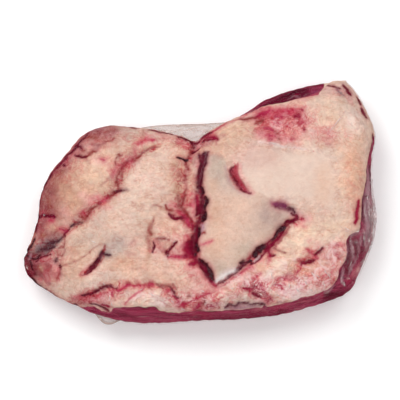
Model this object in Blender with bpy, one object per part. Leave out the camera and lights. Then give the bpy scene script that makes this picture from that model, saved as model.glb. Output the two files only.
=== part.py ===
"""A boneless beef shoulder in its clear vacuum bag, lying fat side up.

Metres, +Z up, the origin on the table under the middle of the pack. Plan places and sizes are
written in millimetres, x to the right and y away from the viewer, and turned into metres at the end.
A place below the widest line is written as if the wall were folded out flat around it.
"""

import bmesh
import bpy
import numpy as np
from mathutils import Vector, noise

MM = 0.001

# Driving sizes of the pack
LENGTH = 397.0
WIDTH = 279.0
GIRTH_HEIGHT = 38.0  # the level at which the pack is widest
BASE_INSET = 15.0  # how far the part that lies on the table stays inside the widest line
CELLS_LONG = 74
CELLS_WIDE = 50
CELLS_WALL = 5
RIM_OF_CELLS = 0.2  # the share of the top's cells, from the middle out, that follow the rim's rounding
RIM_OF_PLAN = 0.2  # the share of the plan that they cover
FLAT_WITHIN = 0.001

# The widest line seen from above, counter-clockwise from the shank tip on the left
GIRTH = [
    (-198.5, -64), (-194, -81), (-176, -97), (-152, -109.5), (-122, -124), (-86, -134), (-48, -136),
    (0, -133), (54, -131), (101, -124), (149, -110), (170, -98), (179, -81), (188, -60),
    (196, -38), (198.5, -10), (195, 18), (196, 48), (199, 76), (194, 97), (182, 120), (170, 136),
    (162, 141.5), (132, 138), (102, 131), (71, 119), (40, 98), (16, 85), (5, 78), (-5, 70.5),
    (-23, 77), (-56, 85), (-94, 88.5), (-117, 85), (-136, 75), (-156, 50), (-170, 33), (-180, 8),
    (-182, -12), (-188, -37), (-195, -54),
]
GIRTH_STEPS = 10
FRONT_LEFT, FRONT_RIGHT, BACK_RIGHT, BACK_LEFT = (-176, -97), (179, -81), (162, 141.5), (-136, 75)

# How wide the rounding between wall and top is, by the direction from the middle in degrees
ROUNDING = {
    0: 30, 25: 30, 42: 40, 65: 34, 90: 26, 130: 36, 165: 40, 200: 44, 235: 30, 270: 24, 310: 34, 335: 42,
}

# Height of the fat side at spots of the plan, and how far each spot reaches
HEIGHT_AT = {
    (-185, -62): 52, (-150, 10): 80, (-110, 60): 80, (-100, -10): 88, (-95, -90): 82, (-30, 20): 90,
    (-20, -60): 90, (0, 62): 78, (60, 20): 97, (60, -70): 92, (120, -20): 97, (120, -90): 84,
    (110, 90): 86, (160, 100): 74, (175, 20): 88, (165, -60): 84,
}
HEIGHT_REACH = 42.0

# Where muscles meet, or the fat is cut: the line, half its width and its depth
SEAMS = {
    "long seam": (
        [(-46, 54), (-70, 42), (-88, 23), (-92, 6), (-112, -11), (-136, -31), (-160, -46), (-186, -63)],
        6, 4.5,
    ),
    "slit over the shank": ([(-131, -88), (-118, -81), (-108, -71), (-103, -60)], 4.5, 3.5),
    "shank fold": ([(-160, -68), (-155, -82), (-156, -98)], 5, 2.5),
    "shank crease": ([(-184, -21), (-172, -21), (-162, -26)], 5, 2.5),
    "lower fold": ([(-130, -112), (-100, -101), (-76, -102), (-38, -103), (-20, -119)], 5.5, 3.5),
    "pocket, left": ([(-50, -27), (-57, -44), (-52, -68)], 5, 2),
    "pocket, right": ([(-26, -53), (-36, -67), (-12, -70)], 5, 3),
    "fan of wrinkles": ([(-34, -23), (-20, -28), (-6, -40)], 5, 3),
    "middle seam": ([(2, 74), (-8, 48), (-15, 28), (-18, 5), (-18, -18), (-8, -33)], 6, 3.5),
    "membrane, left edge": (
        [(6, 44), (-2, 8), (4, -8), (1, -24), (-6, -42), (-7, -60), (-2, -75), (10, -86), (16, -101)],
        5.5, 5,
    ),
    "membrane, right edge": ([(16, -101), (46, -79), (70, -59), (92, -38), (112, -29)], 5.5, 5),
    "membrane, top edge": ([(108, -27), (100, -19), (80, -13)], 5, 2),
    "crescent cut": ([(41, 33), (33, 25), (39, 11), (54, 0)], 5, 4),
    "right crevice": ([(134, -62), (124, -72), (110, -77), (102, -90), (86, -96)], 5, 4),
    "lower crevice": ([(48, -104), (60, -110), (76, -118)], 5, 3),
    "corner crevice": ([(80, -99), (93, -109)], 5, 2.5),
    "grey slit": ([(28, -125), (48, -121), (68, -124)], 4.5, 2),
    "back crease": ([(-141, 58), (-129, 43), (-116, 50)], 5, 2),
    "top line": ([(62, 56), (100, 51), (138, 46)], 5, 1.5),
}
SEAM_ENDS = 0.25  # the share of a seam over which it grows shallow at each end
SEAM_END_DEPTH = 0.35  # the share of its depth that is left there
LINE_STEPS = 6

# Where the skin stands higher or lower than the slab: its reach and its height
SWELLS = {
    (-132, 6): (28, 3.5), (-98, 60): (20, 2), (-48, 14): (26, 3), (-80, -42): (28, 3),
    (-38, -88): (20, 2.5), (-142, -78): (18, 2.5), (-32, -48): (14, 2), (100, 18): (34, 3),
    (88, 78): (20, -2.5), (34, -30): (26, -1.5), (150, 92): (22, 2.5), (28, 72): (16, 2),
    (120, -104): (14, 2), (150, -30): (24, 1.5), (70, -92): (12, 2), (-188, -76): (9, 5), (5, 66): (9, 2.5),
}

# Where the fat ends and the lean shows, counter-clockwise from the shank tip
FAT_EDGE = [
    (-181, -64), (-176, -82), (-170, -100), (-153, -116), (-122, -121), (-95, -126), (-52, -126),
    (-42, -131), (0, -131), (50, -128), (90, -121), (130, -110), (148, -100), (156, -84), (163, -66),
    (164, -50), (176, -40), (179, -10), (183, 5), (189, 40), (205, 78), (204, 104), (190, 132), (168, 152),
    (146, 136), (130, 120), (104, 110), (70, 104), (44, 96), (24, 104), (4, 92), (-24, 92), (-90, 104),
    (-124, 98), (-166, 58), (-192, 20), (-198, -14), (-202, -40), (-196, -56),
]
LEAN_STEP = 3.0  # how far the lean lies under the fat's skin
LEAN_RAMP = 6.0
LUMP_SIZE = 34.0
LUMP_HEIGHT = 1.6
FOOT_FADE = 12.0  # the height over which the relief dies out towards the table
GIRTH_KEEP = 0.85  # the share of the relief that the widest line does without, to keep its outline
GIRTH_REACH = 13.0  # how far above and below the widest line that reaches

# Film that stands off the meat: its outline, reaching into the meat, and the level it lies at
FILM_THICKNESS = 2.4
WEBS = {
    "notch_web": (
        [(-64, 84), (-38, 87), (0, 88.5), (32, 90), (38, 87), (24, 76), (6, 62), (-8, 56), (-28, 64),
         (-60, 74)],
        40,
    ),
    "corner_fin": (
        [(-124, -117), (-119, -126), (-113, -133), (-104, -138), (-96, -138), (-80, -130), (-98, -118)],
        36,
    ),
}
WEB_STEPS = 4

SKIN_COLOUR = (0.68, 0.40, 0.32)
SKIN_ROUGHNESS = 0.22


def curve_through(points, steps, closed=True):
    """A smooth line through the points, by Catmull and Rom's rule."""
    points = np.array(points, float)
    if not closed:
        points = np.vstack([2 * points[0] - points[1], points, 2 * points[-1] - points[-2]])
    before, after, beyond = (np.roll(points, shift, axis=0) for shift in (1, -1, -2))
    t = (np.arange(steps) / steps)[None, :, None]
    p0, p1, p2, p3 = (p[:, None, :] for p in (before, points, after, beyond))
    curve = 0.5 * (
        2 * p1
        + (p2 - p0) * t
        + (2 * p0 - 5 * p1 + 4 * p2 - p3) * t**2
        + (3 * p1 - p0 - 3 * p2 + p3) * t**3
    )
    return curve.reshape(-1, 2) if closed else curve[1:-2].reshape(-1, 2)


def girth_line():
    """The widest line, scaled to the driving sizes, with its box centred on the origin."""
    line = curve_through(GIRTH, GIRTH_STEPS)
    low, high = line.min(axis=0), line.max(axis=0)
    return (line - (low + high) / 2) * np.array([LENGTH, WIDTH]) / (high - low)


def nearest_on_line(places, line, closed=False):
    """Each place's distance to a line in the plan, and the share of the line at which it is nearest."""
    starts = line if closed else line[:-1]
    steps = (np.roll(line, -1, axis=0) if closed else line[1:]) - starts
    best = np.full(len(places), np.inf)
    share = np.zeros(len(places))
    for index, (start, step) in enumerate(zip(starts, steps)):
        t = np.clip(((places - start) @ step) / max(step @ step, 1e-9), 0, 1)
        gap = np.linalg.norm(places - start - t[:, None] * step, axis=1)
        nearer = gap < best
        best[nearer] = gap[nearer]
        share[nearer] = (index + t[nearer]) / len(starts)
    return best, share


def inside(places, line):
    """Whether each place lies within a closed line, by the crossings of a ray along x."""
    within = np.zeros(len(places), bool)
    for (x0, y0), (x1, y1) in zip(line, np.roll(line, -1, axis=0)):
        crosses = (y0 > places[:, 1]) != (y1 > places[:, 1])
        rise = y1 - y0 if y1 != y0 else 1e-9
        within ^= crosses & (places[:, 0] < (x1 - x0) * (places[:, 1] - y0) / rise + x0)
    return within


def smooth_step(low, high, value):
    t = np.clip((value - low) / (high - low), 0, 1)
    return t * t * (3 - 2 * t)


def rounding_width(places):
    """The width of the rounding in each place's direction."""
    degrees = np.degrees(np.arctan2(places[:, 1], places[:, 0])) % 360
    angles = np.array(sorted(ROUNDING))
    widths = np.array([ROUNDING[a] for a in angles], float)
    return np.interp(degrees, np.append(angles, angles[0] + 360), np.append(widths, widths[0]))


def slab_height(places):
    """The height of the fat side above the table, before its rounding and its relief."""
    total = np.zeros(len(places))
    weight = np.zeros(len(places))
    for (x, y), height in HEIGHT_AT.items():
        gap2 = (places[:, 0] - x) ** 2 + (places[:, 1] - y) ** 2
        share = np.exp(-gap2 / (2 * HEIGHT_REACH**2)) + 1e-9
        total += share * height
        weight += share
    return total / weight


def top_height(places, girth):
    """The height of the upper skin."""
    inward, _ = nearest_on_line(places, girth, closed=True)
    share = np.clip(inward / rounding_width(places), 0, 1)
    rise = slab_height(places) - GIRTH_HEIGHT
    return GIRTH_HEIGHT + rise * np.sqrt(np.maximum(1 - (1 - share) ** 2, 0))


def side_points(girth, start, end, shares):
    """Places at shares of the way along the girth, from the point next to start to that next to end."""
    first = np.argmin(((girth - start) ** 2).sum(axis=1))
    last = np.argmin(((girth - end) ** 2).sum(axis=1))
    run = np.roll(girth, -first, axis=0)[: (last - first) % len(girth) + 1]
    walked = np.concatenate([[0], np.cumsum(np.linalg.norm(np.diff(run, axis=0), axis=1))])
    return np.column_stack([np.interp(shares * walked[-1], walked, run[:, i]) for i in (0, 1)])


def crowd_to_rim(share):
    """Moves evenly spaced grid lines so that the outer ones follow the rounding of the rim."""
    edge = 1 - np.abs(2 * share - 1)
    rounded = RIM_OF_PLAN * (1 - np.cos(np.pi / 2 * np.clip(edge / RIM_OF_CELLS, 0, 1)))
    inner = RIM_OF_PLAN + (1 - RIM_OF_PLAN) * (edge - RIM_OF_CELLS) / (1 - RIM_OF_CELLS)
    placed = np.where(edge < RIM_OF_CELLS, rounded, inner) / 2
    return np.where(share < 0.5, placed, 1 - placed)


def stretch_over_plan(shares, girth):
    """Stretches the unit square between the four sides of the girth, as a Coons patch."""
    x, y = crowd_to_rim(shares[:, 0]), crowd_to_rim(shares[:, 1])
    front = side_points(girth, FRONT_LEFT, FRONT_RIGHT, x)
    right = side_points(girth, FRONT_RIGHT, BACK_RIGHT, y)
    back = side_points(girth, BACK_RIGHT, BACK_LEFT, 1 - x)
    left = side_points(girth, BACK_LEFT, FRONT_LEFT, 1 - y)
    corners = side_points(girth, FRONT_LEFT, FRONT_RIGHT, np.array([0, 1]))
    far_corners = side_points(girth, BACK_RIGHT, BACK_LEFT, np.array([1, 0]))
    x, y = x[:, None], y[:, None]
    near = (1 - x) * corners[0] + x * corners[1]
    far = (1 - x) * far_corners[0] + x * far_corners[1]
    return (1 - y) * front + y * back + (1 - x) * left + x * right - (1 - y) * near - y * far


def subdivided_cube():
    """A cube from -1 to 1 whose edges along x, y and z are cut into their numbers of cells."""
    mesh = bmesh.new()
    bmesh.ops.create_cube(mesh, size=2)
    for axis, cells in enumerate((CELLS_LONG, CELLS_WIDE, CELLS_WALL)):
        across = [e for e in mesh.edges if abs(e.verts[0].co[axis] - e.verts[1].co[axis]) > 1]
        bmesh.ops.subdivide_edges(mesh, edges=across, cuts=cells - 1, use_grid_fill=True)
    return mesh


def fold_out(places, girth, below, height):
    """The places with the wall folded out flat around the widest line."""
    _, share = nearest_on_line(places, girth, closed=True)
    step = np.roll(girth, -2, axis=0) - np.roll(girth, 2, axis=0)
    outward = np.column_stack([step[:, 1], -step[:, 0]]) / np.linalg.norm(step, axis=1)[:, None]
    outward = outward[(share * len(girth)).round().astype(int) % len(girth)]
    return places + outward * np.where(below, GIRTH_HEIGHT - height, 0)[:, None]


def relief_at(places):
    """How far the skin stands out at places of the folded-out plan."""
    relief = np.zeros(len(places))
    for points, width, depth in SEAMS.values():
        gap, share = nearest_on_line(places, curve_through(points, LINE_STEPS, closed=False))
        full = smooth_step(0, SEAM_ENDS, share) * smooth_step(0, SEAM_ENDS, 1 - share)
        full = SEAM_END_DEPTH + (1 - SEAM_END_DEPTH) * full
        relief -= depth * full * np.exp(-((gap / width) ** 2))
    for centre, (reach, height) in SWELLS.items():
        relief += height * np.exp(-((places - centre) ** 2).sum(axis=1) / reach**2)
    edge = curve_through(FAT_EDGE, LINE_STEPS)
    gap, _ = nearest_on_line(places, edge, closed=True)
    gap = np.where(inside(places, edge), -gap, gap)
    lean = smooth_step(-LEAN_RAMP / 2, LEAN_RAMP / 2, gap)
    lumps = np.array([noise.noise(Vector((x, y, 0)) / LUMP_SIZE) for x, y in places])
    return relief - LEAN_STEP * lean + LUMP_HEIGHT * (1 + lean) * lumps


def shape_body(mesh, girth):
    """Moves the cube's points to the slab's skin: its top face to the fat side, its sides to the wall."""
    cube = np.array([v.co for v in mesh.verts])
    places = stretch_over_plan((cube[:, :2] + 1) / 2, girth)
    height = top_height(places, girth)
    below = cube[:, 2] < 1 - 1e-6
    turn = np.pi / 2 * (1 - cube[:, 2]) / 2
    height[below] = GIRTH_HEIGHT * (1 - np.sin(turn[below]))
    relief = relief_at(fold_out(places, girth, below, height))
    relief *= smooth_step(0, FOOT_FADE, height)
    relief *= 1 - GIRTH_KEEP * np.exp(-(((height - GIRTH_HEIGHT) / GIRTH_REACH) ** 2))
    inset = BASE_INSET * (1 - np.cos(turn)) / np.linalg.norm(places, axis=1).clip(1)
    places[below] *= 1 - inset[below, None]
    for vert, place, z in zip(mesh.verts, places, height):
        vert.co = (place[0], place[1], z)
    mesh.normal_update()
    moves = [Vector(vert.normal) * amount for vert, amount in zip(mesh.verts, relief)]
    for vert, move in zip(mesh.verts, moves):
        vert.co += move


def flatten_base(mesh):
    """Joins the flat cells that lie on the table into one face."""
    base = [f for f in mesh.faces if all(v.co.z < FLAT_WITHIN for v in f.verts)]
    bmesh.ops.dissolve_faces(mesh, faces=base)


def object_from(mesh, name):
    bmesh.ops.scale(mesh, vec=(MM, MM, MM), verts=mesh.verts)
    data = bpy.data.meshes.new(name)
    mesh.to_mesh(data)
    mesh.free()
    return bpy.data.objects.new(name, data)


def build_body():
    mesh = subdivided_cube()
    shape_body(mesh, girth_line())
    flatten_base(mesh)
    return object_from(mesh, "beef_shoulder")


def build_web(name, outline, level):
    """A flat piece of doubled film, cut to its outline."""
    mesh = bmesh.new()
    rim = [mesh.verts.new((x, y, level - FILM_THICKNESS / 2)) for x, y in curve_through(outline, WEB_STEPS)]
    plate = mesh.faces.new(rim)
    if plate.normal.z > 0:
        plate.normal_flip()
    raised = bmesh.ops.extrude_face_region(mesh, geom=[plate], use_keep_orig=True)["geom"]
    upper = [item for item in raised if isinstance(item, bmesh.types.BMVert)]
    bmesh.ops.translate(mesh, vec=(0, 0, FILM_THICKNESS), verts=upper)
    bmesh.ops.recalc_face_normals(mesh, faces=mesh.faces)
    return object_from(mesh, name)


def fuse_webs(body):
    """Joins the film's webs to the pack with one Boolean union."""
    webs = bpy.data.collections.new("film_webs")
    bpy.context.scene.collection.children.link(webs)
    for name, (outline, level) in WEBS.items():
        webs.objects.link(build_web(name, outline, level))
    union = body.modifiers.new("webs", "BOOLEAN")
    union.operation = "UNION"
    union.operand_type = "COLLECTION"
    union.collection = webs
    graph = bpy.context.evaluated_depsgraph_get()
    fused = bpy.data.meshes.new_from_object(body.evaluated_get(graph))
    body.modifiers.clear()
    body.data = fused
    for obj in list(webs.objects):
        bpy.data.objects.remove(obj)
    bpy.data.collections.remove(webs)


def skin_material():
    material = bpy.data.materials.new("beef_in_film")
    material.use_nodes = True
    shader = material.node_tree.nodes["Principled BSDF"]
    shader.inputs["Base Color"].default_value = (*SKIN_COLOUR, 1)
    shader.inputs["Roughness"].default_value = SKIN_ROUGHNESS
    shader.inputs["Metallic"].default_value = 0.0
    return material


def main():
    for obj in list(bpy.data.objects):
        bpy.data.objects.remove(obj)
    parts = bpy.data.collections.new("beef_shoulder_pack")
    bpy.context.scene.collection.children.link(parts)
    pack = build_body()
    parts.objects.link(pack)
    fuse_webs(pack)
    pack.data.materials.append(skin_material())
    pack.data.shade_smooth()


if __name__ == "__main__":
    main()
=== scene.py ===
"""The looks of a vacuum-packed raw beef shoulder: meat and fat under clear film that clings to them.

Places on the pack are written in its plan, in millimetres, x to the right and y away from the
viewer, as in the CAD model. A place below the widest line is written as if the wall were folded out
flat around it.
"""

import functools

import bmesh
import bpy
import numpy as np
from bpy.props import FloatProperty, FloatVectorProperty, PointerProperty
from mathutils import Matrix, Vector, kdtree, noise


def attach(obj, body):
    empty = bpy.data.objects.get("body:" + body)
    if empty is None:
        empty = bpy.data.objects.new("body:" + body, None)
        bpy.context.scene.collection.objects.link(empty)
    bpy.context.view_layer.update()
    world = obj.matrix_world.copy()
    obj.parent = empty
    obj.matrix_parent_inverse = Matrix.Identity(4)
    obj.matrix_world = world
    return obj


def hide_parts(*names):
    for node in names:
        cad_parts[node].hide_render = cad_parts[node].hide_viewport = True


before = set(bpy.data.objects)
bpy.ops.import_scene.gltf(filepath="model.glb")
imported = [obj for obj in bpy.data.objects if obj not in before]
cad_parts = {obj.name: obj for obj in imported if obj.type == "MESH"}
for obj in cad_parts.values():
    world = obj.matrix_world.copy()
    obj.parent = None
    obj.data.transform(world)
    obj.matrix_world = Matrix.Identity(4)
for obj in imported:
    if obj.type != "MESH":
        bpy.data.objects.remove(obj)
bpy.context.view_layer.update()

bl_info = {
    "name": "Beef shoulder in film",
    "version": (1, 0, 0),
    "blender": (4, 5, 0),
    "location": "View3D > Sidebar > Beef",
    "description": "Builds a raw beef shoulder in clear vacuum film around its solid model",
    "category": "Add Mesh",
}

MM = 0.001
NODE = "beef_shoulder"
BODY = "root"


def points_in(text):
    """The points in text such as "3,4 5,6"."""
    return [tuple(map(float, word.split(","))) for word in text.split() if "," in word]


def rows_in(table):
    """The rows of a table in text: each one's names and numbers, and then the list of its points."""
    rows = []
    for row in table.splitlines():
        row = row.partition("#")[0]
        values = [word if word[0].isalpha() else float(word) for word in row.split() if "," not in word]
        if row.strip():
            rows.append((*values, points_in(row)))
    return rows


# ---- The form, as in the CAD model -------------------------------------------------------------

LENGTH = 397.0
WIDTH = 279.0
GIRTH_HEIGHT = 38.0
BASE_INSET = 15.0
RIM_OF_CELLS = 0.2
RIM_OF_PLAN = 0.2
GIRTH = points_in("""
-198.5,-64 -194,-81 -176,-97 -152,-109.5 -122,-124 -86,-134 -48,-136 0,-133 54,-131 101,-124 149,-110
170,-98 179,-81 188,-60 196,-38 198.5,-10 195,18 196,48 199,76 194,97 182,120 170,136 162,141.5 132,138
102,131 71,119 40,98 16,85 5,78 -5,70.5 -23,77 -56,85 -94,88.5 -117,85 -136,75 -156,50 -170,33 -180,8
-182,-12 -188,-37 -195,-54
""")
# Points drawn between two given ones, on the girth and on other lines
GIRTH_STEPS = 10
LINE_STEPS = 6
# Where the grid's corners lie on the girth
FRONT_LEFT, FRONT_RIGHT, BACK_RIGHT, BACK_LEFT = (-176, -97), (172, -96), (162, 141.5), (-136, 75)
# The width of the rim's rounding, by the direction from the middle in degrees
ROUNDING = {
    0: 30, 25: 30, 42: 40, 65: 34, 90: 26, 130: 36, 165: 40, 200: 44, 235: 30, 270: 24, 310: 34, 335: 42,
}
# The slab's height near places, and how far each one counts
HEIGHT_AT = {
    (-185, -62): 52, (-150, 10): 80, (-110, 60): 80, (-100, -10): 88, (-95, -90): 82, (-30, 20): 90,
    (-20, -60): 90, (0, 62): 78, (60, 20): 97, (60, -70): 92, (120, -20): 97, (120, -90): 84,
    (110, 90): 86, (160, 100): 74, (175, 20): 88, (165, -60): 84,
}
HEIGHT_REACH = 42.0

# Where muscles meet, or the fat is cut: half the width, the depth and the line
SEAMS = rows_in("""
6 4.5 -46,54 -70,42 -88,23 -92,6 -112,-11 -136,-31 -160,-46 -186,-63  # long seam
4.5 3.5 -131,-88 -118,-81 -108,-71 -103,-60  # slit over the shank
5 2.5 -160,-68 -155,-82 -156,-98  # shank fold
5 2.5 -184,-21 -172,-21 -162,-26  # shank crease
5.5 3.5 -130,-112 -100,-101 -76,-102 -38,-103 -20,-119  # lower fold
5 2 -50,-27 -57,-44 -52,-68  # pocket, left
5 3 -26,-53 -36,-67 -12,-70  # pocket, right
5 3 -34,-23 -20,-28 -6,-40  # fan of wrinkles
6 3.5 2,74 -8,48 -15,28 -18,5 -18,-18 -8,-33  # middle seam
5.5 5 6,44 -2,8 4,-8 1,-24 -6,-42 -7,-60 -2,-75 10,-86 16,-101  # membrane, left edge
5.5 5 16,-101 46,-79 70,-59 92,-38 112,-29  # membrane, right edge
5 2 108,-27 100,-19 80,-13  # membrane, top edge
5 4 41,33 33,25 39,11 54,0  # crescent cut
5 4 134,-62 124,-72 110,-77 102,-90 86,-96  # right crevice
5 3 48,-104 60,-110 76,-118  # lower crevice
5 2.5 80,-99 93,-109  # corner crevice
4.5 2 28,-125 48,-121 68,-124  # grey slit
5 2 -141,58 -129,43 -116,50  # back crease
5 1.5 62,56 100,51 138,46  # top line
""")
# The share of a seam over which each end gets shallow, and how deep its tip is
SEAM_ENDS = 0.25
SEAM_END_DEPTH = 0.35
# Bulges and hollows: the place, its reach and its height
SWELLS = {
    (-132, 6): (28, 3.5), (-98, 60): (20, 2), (-48, 14): (26, 3), (-80, -42): (28, 3),
    (-38, -88): (20, 2.5), (-142, -78): (18, 2.5), (-32, -48): (14, 2), (100, 18): (34, 3),
    (88, 78): (20, -2.5), (34, -30): (26, -1.5), (150, 92): (22, 2.5), (28, 72): (16, 2),
    (120, -104): (14, 2), (150, -30): (24, 1.5), (70, -92): (12, 2),
    (-188, -76): (9, 5), (5, 66): (9, 2.5),
}
# Where the fat ends in the solid model, and the step down to the lean
FAT_EDGE = points_in("""
-181,-64 -176,-82 -170,-100 -153,-116 -122,-121 -95,-126 -52,-126 -42,-131 0,-131 50,-128 90,-121
130,-110 148,-100 156,-84 163,-66 164,-50 176,-40 179,-10 183,5 189,40 205,78 204,104 190,132 168,152
146,136 130,120 104,110 70,104 44,96 24,104 4,92 -24,92 -90,104 -124,98 -166,58 -192,20 -198,-14
-202,-40 -196,-56
""")
LEAN_STEP = 3.0
LEAN_RAMP = 6.0
# Broad lumps all over
LUMP_SIZE = 34.0
LUMP_HEIGHT = 1.6
# Where the relief fades: near the foot, and near the girth, which keeps the box's size
FOOT_FADE = 12.0
GIRTH_KEEP = 0.85
GIRTH_REACH = 13.0

# ---- The fine skin -------------------------------------------------------------------------------

CELLS_LONG = 336
CELLS_WIDE = 224
WALL_ROWS = 14
BASE_RINGS = 3
# How far the base's rings close in before one face fills the rest
BASE_HOLE = 0.06
# How far the wall turns under before it counts as the underside
UNDER_FROM = np.pi / 2 + 0.1
# How many points of the skin a lifted place is read from
LIFT_FROM = 4


def curve_through(points, steps, closed=True):
    """A smooth line through the points, by Catmull and Rom's rule."""
    points = np.array(points, float)
    if not closed:
        points = np.vstack([2 * points[0] - points[1], points, 2 * points[-1] - points[-2]])
    before, after, further = (np.roll(points, shift, axis=0) for shift in (1, -1, -2))
    t = (np.arange(steps) / steps)[None, :, None]
    p0, p1, p2, p3 = (p[:, None, :] for p in (before, points, after, further))
    curve = 0.5 * (
        2 * p1
        + (p2 - p0) * t
        + (2 * p0 - 5 * p1 + 4 * p2 - p3) * t**2
        + (3 * p1 - p0 - 3 * p2 + p3) * t**3
    )
    if closed:
        return curve.reshape(-1, points.shape[1])
    return np.vstack([curve[1:-2].reshape(-1, points.shape[1]), points[-2]])


def girth_line():
    """The widest line, scaled to the driving sizes, with its box centred on the origin."""
    line = curve_through(GIRTH, GIRTH_STEPS)
    low, high = line.min(axis=0), line.max(axis=0)
    return (line - (low + high) / 2) * np.array([LENGTH, WIDTH]) / (high - low)


def nearest_on_line(places, line, closed=False):
    """Each place's distance to a line, and the share of the line at which it is nearest."""
    best = np.full(len(places), np.inf)
    share = np.zeros(len(places))
    starts = line if closed else line[:-1]
    steps = (np.roll(line, -1, axis=0) if closed else line[1:]) - starts
    for index, (start, step) in enumerate(zip(starts, steps)):
        t = np.clip(((places - start) @ step) / max(step @ step, 1e-9), 0, 1)
        gap = np.linalg.norm(places - start - t[:, None] * step, axis=1)
        nearer = gap < best
        best[nearer] = gap[nearer]
        share[nearer] = (index + t[nearer]) / len(starts)
    return best, share


def inside(places, line):
    """Whether each place lies within a closed line, by the crossings of a ray along x."""
    within = np.zeros(len(places), bool)
    for (x0, y0), (x1, y1) in zip(line, np.roll(line, -1, axis=0)):
        crosses = (y0 > places[:, 1]) != (y1 > places[:, 1])
        rise = y1 - y0 if y1 != y0 else 1e-9
        within ^= crosses & (places[:, 0] < (x1 - x0) * (places[:, 1] - y0) / rise + x0)
    return within


def signed_gap(places, outline):
    """The distance to a closed line, less than zero within it."""
    line = curve_through(outline, LINE_STEPS)
    gap, _ = nearest_on_line(places, line, closed=True)
    return np.where(inside(places, line), -gap, gap)


def smooth_step(low, high, value):
    t = np.clip((value - low) / (high - low), 0, 1)
    return t * t * (3 - 2 * t)


def within(places, outline, soft):
    """1 inside a closed line and 0 outside, with a soft edge half of which lies on each side."""
    return smooth_step(soft, -soft, signed_gap(places, outline))


def beyond(places, outline, soft):
    """1 outside a closed line and 0 inside, with the same soft edge."""
    return smooth_step(-soft, soft, signed_gap(places, outline))


def rounding_width(places):
    degrees = np.degrees(np.arctan2(places[:, 1], places[:, 0])) % 360
    angles = np.array(sorted(ROUNDING))
    widths = np.array([ROUNDING[a] for a in angles], float)
    return np.interp(degrees, np.append(angles, angles[0] + 360), np.append(widths, widths[0]))


def slab_height(places):
    total = np.zeros(len(places))
    weight = np.zeros(len(places))
    for (x, y), height in HEIGHT_AT.items():
        gap2 = (places[:, 0] - x) ** 2 + (places[:, 1] - y) ** 2
        share = np.exp(-gap2 / (2 * HEIGHT_REACH**2)) + 1e-9
        total += share * height
        weight += share
    return total / weight


def top_height(places, girth):
    inward, _ = nearest_on_line(places, girth, closed=True)
    share = np.clip(inward / rounding_width(places), 0, 1)
    rise = slab_height(places) - GIRTH_HEIGHT
    return GIRTH_HEIGHT + rise * np.sqrt(np.maximum(1 - (1 - share) ** 2, 0))


def walk_along(line, shares):
    """Places at shares of the way along a line."""
    walked = np.concatenate([[0], np.cumsum(np.linalg.norm(np.diff(line, axis=0), axis=1))])
    return np.column_stack([np.interp(shares * walked[-1], walked, line[:, i]) for i in (0, 1)])


def side_points(girth, start, end, shares):
    """Places at shares of the way along the girth, from the point next to start to that next to end."""
    first = np.argmin(((girth - start) ** 2).sum(axis=1))
    last = np.argmin(((girth - end) ** 2).sum(axis=1))
    return walk_along(np.roll(girth, -first, axis=0)[: (last - first) % len(girth) + 1], shares)


def crowd_to_rim(share):
    """Moves evenly spaced grid lines so that the outer ones follow the rounding of the rim."""
    edge = 1 - np.abs(2 * share - 1)
    rounded = RIM_OF_PLAN * (1 - np.cos(np.pi / 2 * np.clip(edge / RIM_OF_CELLS, 0, 1)))
    inner = RIM_OF_PLAN + (1 - RIM_OF_PLAN) * (edge - RIM_OF_CELLS) / (1 - RIM_OF_CELLS)
    placed = np.where(edge < RIM_OF_CELLS, rounded, inner) / 2
    return np.where(share < 0.5, placed, 1 - placed)


def stretch_over_plan(shares, girth):
    """Stretches the unit square between the four sides of the girth, as a Coons patch."""
    x, y = crowd_to_rim(shares[:, 0]), crowd_to_rim(shares[:, 1])
    front = side_points(girth, FRONT_LEFT, FRONT_RIGHT, x)
    right = side_points(girth, FRONT_RIGHT, BACK_RIGHT, y)
    back = side_points(girth, BACK_RIGHT, BACK_LEFT, 1 - x)
    left = side_points(girth, BACK_LEFT, FRONT_LEFT, 1 - y)
    corners = side_points(girth, FRONT_LEFT, FRONT_RIGHT, np.array([0, 1]))
    far_corners = side_points(girth, BACK_RIGHT, BACK_LEFT, np.array([1, 0]))
    x, y = x[:, None], y[:, None]
    near = (1 - x) * corners[0] + x * corners[1]
    far = (1 - x) * far_corners[0] + x * far_corners[1]
    return (1 - y) * front + y * back + (1 - x) * left + x * right - (1 - y) * near - y * far


def fold_out(places, girth, drop):
    """The places with the wall folded out flat around the widest line, each by its drop below it."""
    _, share = nearest_on_line(places, girth, closed=True)
    step = np.roll(girth, -2, axis=0) - np.roll(girth, 2, axis=0)
    outward = np.column_stack([step[:, 1], -step[:, 0]]) / np.linalg.norm(step, axis=1)[:, None]
    outward = outward[(share * len(girth)).round().astype(int) % len(girth)]
    return places + outward * drop[:, None]


def lumps_at(places, size, seed=0.0):
    """Smooth noise from -1 to 1 with lumps of about that size."""
    return np.array([noise.noise(Vector((x, y, seed)) / size + Vector((0, 0, seed))) for x, y in places])


def relief_at(places):
    """How far the pack's skin stands out at places of the folded-out plan."""
    relief = np.zeros(len(places))
    for width, depth, points in SEAMS:
        line = curve_through(points, LINE_STEPS, closed=False)
        gap, share = nearest_on_line(places, line)
        full = smooth_step(0, SEAM_ENDS, share) * smooth_step(0, SEAM_ENDS, 1 - share)
        full = SEAM_END_DEPTH + (1 - SEAM_END_DEPTH) * full
        relief -= depth * full * np.exp(-((gap / width) ** 2))
    for centre, (reach, height) in SWELLS.items():
        relief += height * np.exp(-((places - centre) ** 2).sum(axis=1) / reach**2)
    lean = beyond(places, FAT_EDGE, LEAN_RAMP / 2)
    return relief - LEAN_STEP * lean + LUMP_HEIGHT * (1 + lean) * lumps_at(places, LUMP_SIZE)


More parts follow.
